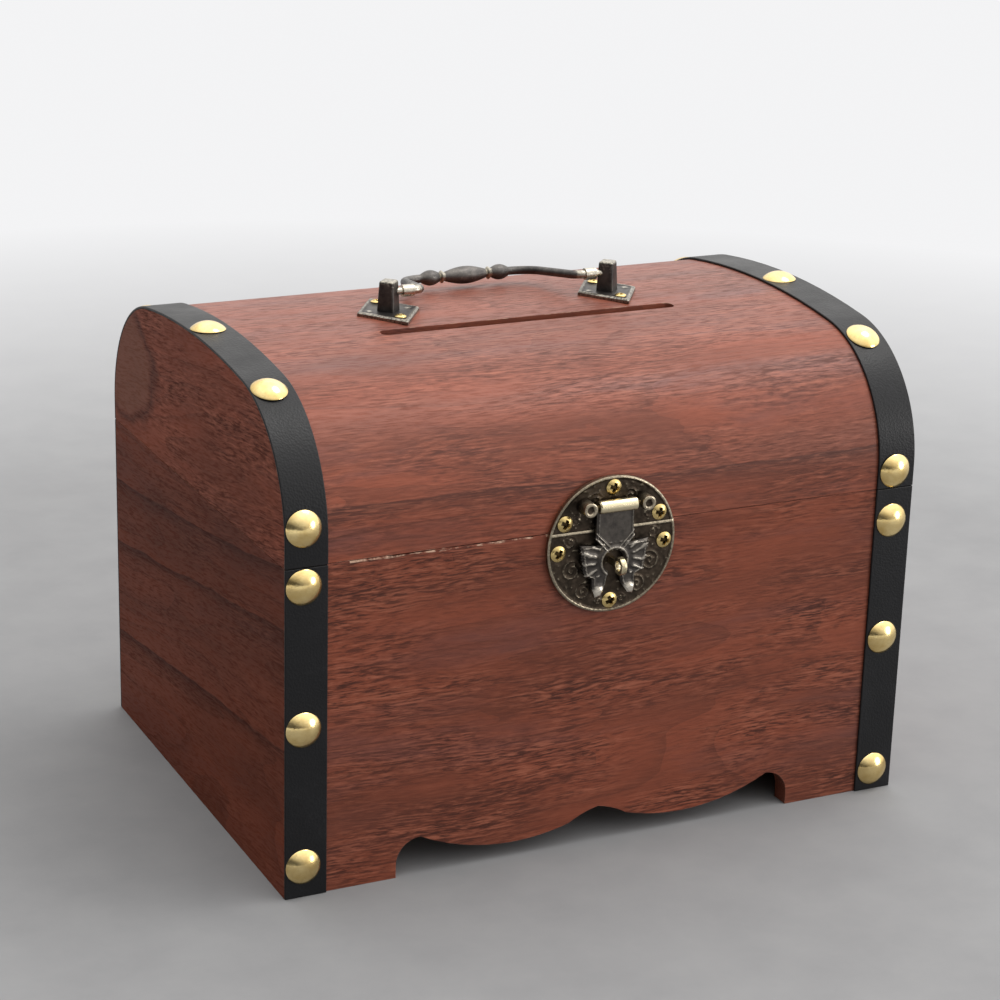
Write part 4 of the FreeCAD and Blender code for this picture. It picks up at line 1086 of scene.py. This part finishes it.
for side in ("left", "right"):
    node = f"handle_plate_{side}"
    low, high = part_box(node)
    half_x, half_y = (high.x - low.x) / 2, (high.y - low.y) / 2
    outline = [(half_x, 0), (0, half_y), (-half_x, 0), (0, -half_y)]
    bm = relief_plate(outline, DIAMOND_STEP, diamond_relief(half_x, half_y), HANDLE_THICKNESS)
    middle = (low + high) / 2
    middle.z = low.z + HANDLE_THICKNESS
    bmesh.ops.translate(bm, vec=middle, verts=bm.verts)
    post = bmesh.new()
    tall = high.z - low.z - HANDLE_SUNK
    taper = {"radius1": POST_FOOT, "radius2": POST_HEAD, "depth": tall}
    bmesh.ops.create_cone(post, segments=4, cap_ends=True, cap_tris=False, **taper)
    bmesh.ops.translate(post, vec=UP * tall / 2, verts=post.verts)
    upper_edges = [e for e in post.edges if max(v.co.z for v in e.verts) > 0.5 * tall]
    round_edges(post, upper_edges, POST_EDGE, POST_EDGE_STEPS)
    mark_worn(post, lambda place: 0.8 * eased((place.z - 0.82 * tall) / (0.18 * tall)))
    middle.z = low.z + HANDLE_SUNK
    set_in(bm, as_mesh(post, f"handle_post_{side}"), middle, UP)
    show(f"handle_diamond_{side}", bm, [handle_bronze], "lid", "antique_bronze", node)


# Handle screws: four small cross-head brass screws that hold the handle to the lid. Each diamond
# plate has one in front of its post and one behind it.
SMALL_SCREW_HEAD = (1.8 * MM, 0.78 * MM)
small_screw = cross_screw(*SMALL_SCREW_HEAD)
diamond_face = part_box("handle_plate_left")[0].z + HANDLE_THICKNESS
seat_screws("screws_of_handle", small_screw, "handle_screws", "lid", UP, diamond_face)


# Bail: the carrying handle, one brass rod with a turned crown of three swellings parted by beads. Its
# arms bend down to a collar beside each post, and its ends turn in the posts.
BAIL_REST = math.radians(8.5)
BAIL_REACH = 25.5 * MM
BAIL_ROD = 1.3 * MM
BAIL_NECK = 0.9 * BAIL_ROD
BAIL_PIN = 1.1 * MM
CROWN_HALF = 14.9 * MM
BEND_RUBBED = 2.6 * MM
BULB_HALF = 7.3 * MM
BULB_RADIUS = 2.75 * MM
BEAD_LENGTH = 1.2 * MM
BEAD_RADIUS = 2.0 * MM
SIDE_BULB_RADIUS = 2.4 * MM
BAIL_SHOULDER = 8 * MM
BAIL_HEEL = 3 * MM
BAIL_SLOPE = math.radians(81)
COLLAR_RADIUS = 1.8 * MM
COLLAR_START = 28.5 * MM
COLLAR_END = 32.1 * MM
COLLAR_BEADS = 2
BAIL_PIN_END = 38.4 * MM
BULB_RINGS = 12
BEAD_RINGS = 6
SHOULDER_RINGS = 12
HEEL_RINGS = 10
BAIL_AXIS = joint_place("handle_swing")
BAIL_DARK = (0.085, 0.080, 0.078)
BAIL_BROWN = (0.155, 0.143, 0.133)
bail_bronze = rubbed_bronze("bail_bronze", BAIL_DARK, BAIL_BROWN, HANDLE_BRIGHT, 0.5, 1.0)


def swelling(start, length, radius, rings):
    """Profile points of (radius, place) over a swelling of the rod, without its last point."""
    shares = [i / rings for i in range(rings)]
    return [(BAIL_ROD + (radius - BAIL_ROD) * math.sin(math.pi * s), start + length * s) for s in shares]


def ring_scaled(bm, edges, factor):
    """Draws a ring of edges out in its own plane, to another size."""
    edges = carry(bm, edges, (0, 0, 0))
    verts = list({v for e in edges for v in e.verts})
    middle = sum((v.co for v in verts), Vector()) / len(verts)
    for vert in verts:
        vert.co = middle + (vert.co - middle) * factor
    return edges


bead_end = BULB_HALF + BEAD_LENGTH
profile = swelling(-BULB_HALF, 2 * BULB_HALF, BULB_RADIUS, 2 * BULB_RINGS)[BULB_RINGS:]
profile += swelling(BULB_HALF, BEAD_LENGTH, BEAD_RADIUS, BEAD_RINGS)
profile += swelling(bead_end, CROWN_HALF - bead_end, SIDE_BULB_RADIUS, BULB_RINGS)
profile += [(BAIL_ROD, CROWN_HALF)]
bm = turned(profile, ROD_SIDES)
crosswise = Matrix.Translation((0, BAIL_REACH, 0)) @ Matrix.Rotation(math.pi, 4, Vector((1, 0, 1)))
bmesh.ops.transform(bm, matrix=crosswise, verts=bm.verts)
ring = [e for e in bm.edges if e.is_boundary and e.verts[0].co.x > CROWN_HALF - 0.01 * MM]
bend = Vector((CROWN_HALF, BAIL_REACH - BAIL_SHOULDER, 0))
ring = swing(bm, ring, bend, (0, 0, -1), BAIL_SLOPE, SHOULDER_RINGS)
bends = (BAIL_SHOULDER + BAIL_HEEL) * (1 - math.cos(BAIL_SLOPE))
arm = (BAIL_REACH - bends) / math.sin(BAIL_SLOPE)
down_arm = Vector((math.cos(BAIL_SLOPE), -math.sin(BAIL_SLOPE), 0))
ring = carry(bm, ring, arm * down_arm)
out_of_bend = Vector((math.sin(BAIL_SLOPE), math.cos(BAIL_SLOPE), 0))
heel = bend + (BAIL_SHOULDER + BAIL_HEEL) * out_of_bend + arm * down_arm
ring = swing(bm, ring, heel, (0, 0, 1), BAIL_SLOPE, HEEL_RINGS)
ring = carry(bm, ring, (COLLAR_START - heel.x, 0, 0))
ring = ring_scaled(bm, ring, BAIL_NECK / BAIL_ROD)
for bead in range(COLLAR_BEADS):
    ring = ring_scaled(bm, ring, COLLAR_RADIUS / BAIL_NECK)
    ring = carry(bm, ring, ((COLLAR_END - COLLAR_START) / COLLAR_BEADS, 0, 0))
    ring = ring_scaled(bm, ring, BAIL_NECK / COLLAR_RADIUS)
ring = ring_scaled(bm, ring, BAIL_PIN / BAIL_NECK)
ring = carry(bm, ring, (BAIL_PIN_END - COLLAR_END, 0, 0))
bmesh.ops.contextual_create(bm, geom=ring)
bmesh.ops.mirror(bm, geom=bm.verts[:] + bm.edges[:] + bm.faces[:], axis="X", merge_dist=0.002 * MM)
bmesh.ops.remove_doubles(bm, verts=bm.verts, dist=0.002 * MM)
bmesh.ops.recalc_face_normals(bm, faces=bm.faces)


def bail_wear(place):
    along = abs(place.x)
    on_bead = BULB_HALF - 0.2 * MM < along < bead_end + 0.2 * MM and place.y > BAIL_REACH - 3 * MM
    on_collar = COLLAR_START - 0.01 * MM < along < COLLAR_END + 0.01 * MM
    at_bend = COLLAR_START - BEND_RUBBED < along < COLLAR_START
    return 1.0 if on_bead or on_collar else 0.85 if at_bend else 0.4


mark_worn(bm, bail_wear)
laid_back = Matrix.Translation(BAIL_AXIS) @ Matrix.Rotation(-BAIL_REST, 4, "X")
bmesh.ops.transform(bm, matrix=laid_back, verts=bm.verts)
show("turned_bail", bm, [bail_bronze], "handle", "antique_bronze", "handle_bail")


# Hinges: two small butt hinges of pressed brass on the back, blackened. Each has a leaf on the base, a
# leaf on the lid and a headed pin, and its leaves are held by cross-head screws.
HINGE_EDGE = 0.22 * MM
HINGE_DARK = (0.090, 0.068, 0.040)
HINGE_BROWN = (0.16, 0.115, 0.062)
HINGE_BRIGHT = (0.50, 0.40, 0.22)
hinge_bronze = rubbed_bronze("hinge_bronze", HINGE_DARK, HINGE_BROWN, HINGE_BRIGHT, 0.55, 1.1)
LEAF_THICKNESS = 1.0 * MM
leaf_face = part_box("back_panel")[1].y + LEAF_THICKNESS
TO_BACK = Vector((0, 1, 0))
for side in ("left", "right"):
    for part, body in (("lower_leaf", "base"), ("upper_leaf", "lid"), ("pin", "base")):
        node = f"hinge_{part}_{side}"
        bm = copied(node)
        ease_edges(bm, HINGE_EDGE, 1.0)
        show(f"brass_{node}", bm, [hinge_bronze], body, "hinge_bronze", node)
for body, leaf in (("base", "lower"), ("lid", "upper")):
    node = f"hinge_{leaf}_screws"
    seat_screws(f"screws_of_hinges_{body}", small_screw, node, body, TO_BACK, leaf_face)


# The stage: a wide pale floor that fades to white far behind the box, a room that is brightest overhead
# and to the right, a little behind, and two weak lamps on the right for highlights on the brass.
FLOOR_HALF = 6.0
FADE_START = 0.30
FADE_END = 0.75
FLOOR_GREY = (0.218, 0.22, 0.227)
FLOOR_PALE = (0.243, 0.245, 0.251)
FLOOR_WHITE = (0.90, 0.90, 0.91, 1)
floor_finish, surface, place = new_finish("floor_pale")
mottle = cloudy(place, 40, 4.0, 0.6)
feed(surface, {"Base Color": mixed(between(mottle, 0.3, 0.7), FLOOR_GREY, FLOOR_PALE), "Roughness": 0.8})
far_off = vectors("LENGTH", place, output="Value")
tree = tree_of(place)
ray = add_node(tree, "LightPath").outputs
mirrored = sums("MAXIMUM", ray["Is Glossy Ray"], ray["Is Transmission Ray"])
seen = sums("MAXIMUM", ray["Is Camera Ray"], mirrored)
white = add_node(tree, "Emission", {"Color": FLOOR_WHITE, "Strength": 1.0})
fade = times(seen, between(far_off, FADE_START, FADE_END))
whole = add_node(tree, "MixShader", {0: fade, 1: surface.outputs[0], 2: white.outputs[0]})
feed(tree.nodes["Material Output"], {"Surface": whole.outputs[0]})
bm = bmesh.new()
bmesh.ops.create_grid(bm, x_segments=4, y_segments=4, size=FLOOR_HALF)
floor = bpy.data.objects.new("floor", as_mesh(bm, "floor"))
floor.data.materials.append(floor_finish)
bpy.context.scene.collection.objects.link(floor)

BOX_MIDDLE = Vector((0, 0, 0.07))
LAMP_WHITE = (1.0, 0.985, 0.96)


def soft_lamp(name, place, width, watts):
    """A round lamp that looks at the middle of the box."""
    lamp = bpy.data.lights.new(name, "AREA")
    lamp.shape = "DISK"
    lamp.size = width
    lamp.energy = watts
    lamp.color = LAMP_WHITE
    holder = bpy.data.objects.new(name, lamp)
    holder.location = place
    holder.rotation_euler = (BOX_MIDDLE - Vector(place)).to_track_quat("-Z", "Y").to_euler()
    bpy.context.scene.collection.objects.link(holder)


soft_lamp("key_lamp", (0.7, -0.15, 1.5), width=0.7, watts=6.5)
soft_lamp("low_lamp", (1.0, -0.9, 0.3), width=0.6, watts=4.5)

ROOM_BRIGHT_SIDE = (0.46, 0.14, 0.87)
ROOM_SPREAD = (-0.15, 0.95)
ROOM_DIM = 0.10
ROOM_BRIGHT = 2.15
ROOM_WHITE = (1.0, 0.985, 0.965, 1)
room = bpy.data.worlds.new("room")
room.use_nodes = True
bpy.context.scene.world = room
direction = add_node(room.node_tree, "TexCoord").outputs["Generated"]
facing = vectors("DOT_PRODUCT", direction, ROOM_BRIGHT_SIDE, "Value")
brightness = between(facing, *ROOM_SPREAD, ROOM_DIM, ROOM_BRIGHT)
feed(room.node_tree.nodes["Background"], {"Strength": brightness, "Color": ROOM_WHITE})

# The camera stands a little to the left and above, as in the photograph.
CAMERA_PLACE = (-0.34164, -0.69462, 0.34617)
CAMERA_TURN = (71.2148, -1.5148, -25.5421)
LENS = 95.876
SENSOR = 36
camera = bpy.data.objects.new("camera", bpy.data.cameras.new("camera"))
camera.data.lens = LENS
camera.data.sensor_width = SENSOR
camera.location = CAMERA_PLACE
camera.rotation_euler = [math.radians(angle) for angle in CAMERA_TURN]
bpy.context.scene.collection.objects.link(camera)
bpy.context.scene.camera = camera
bpy.context.scene.view_settings.view_transform = "Standard"
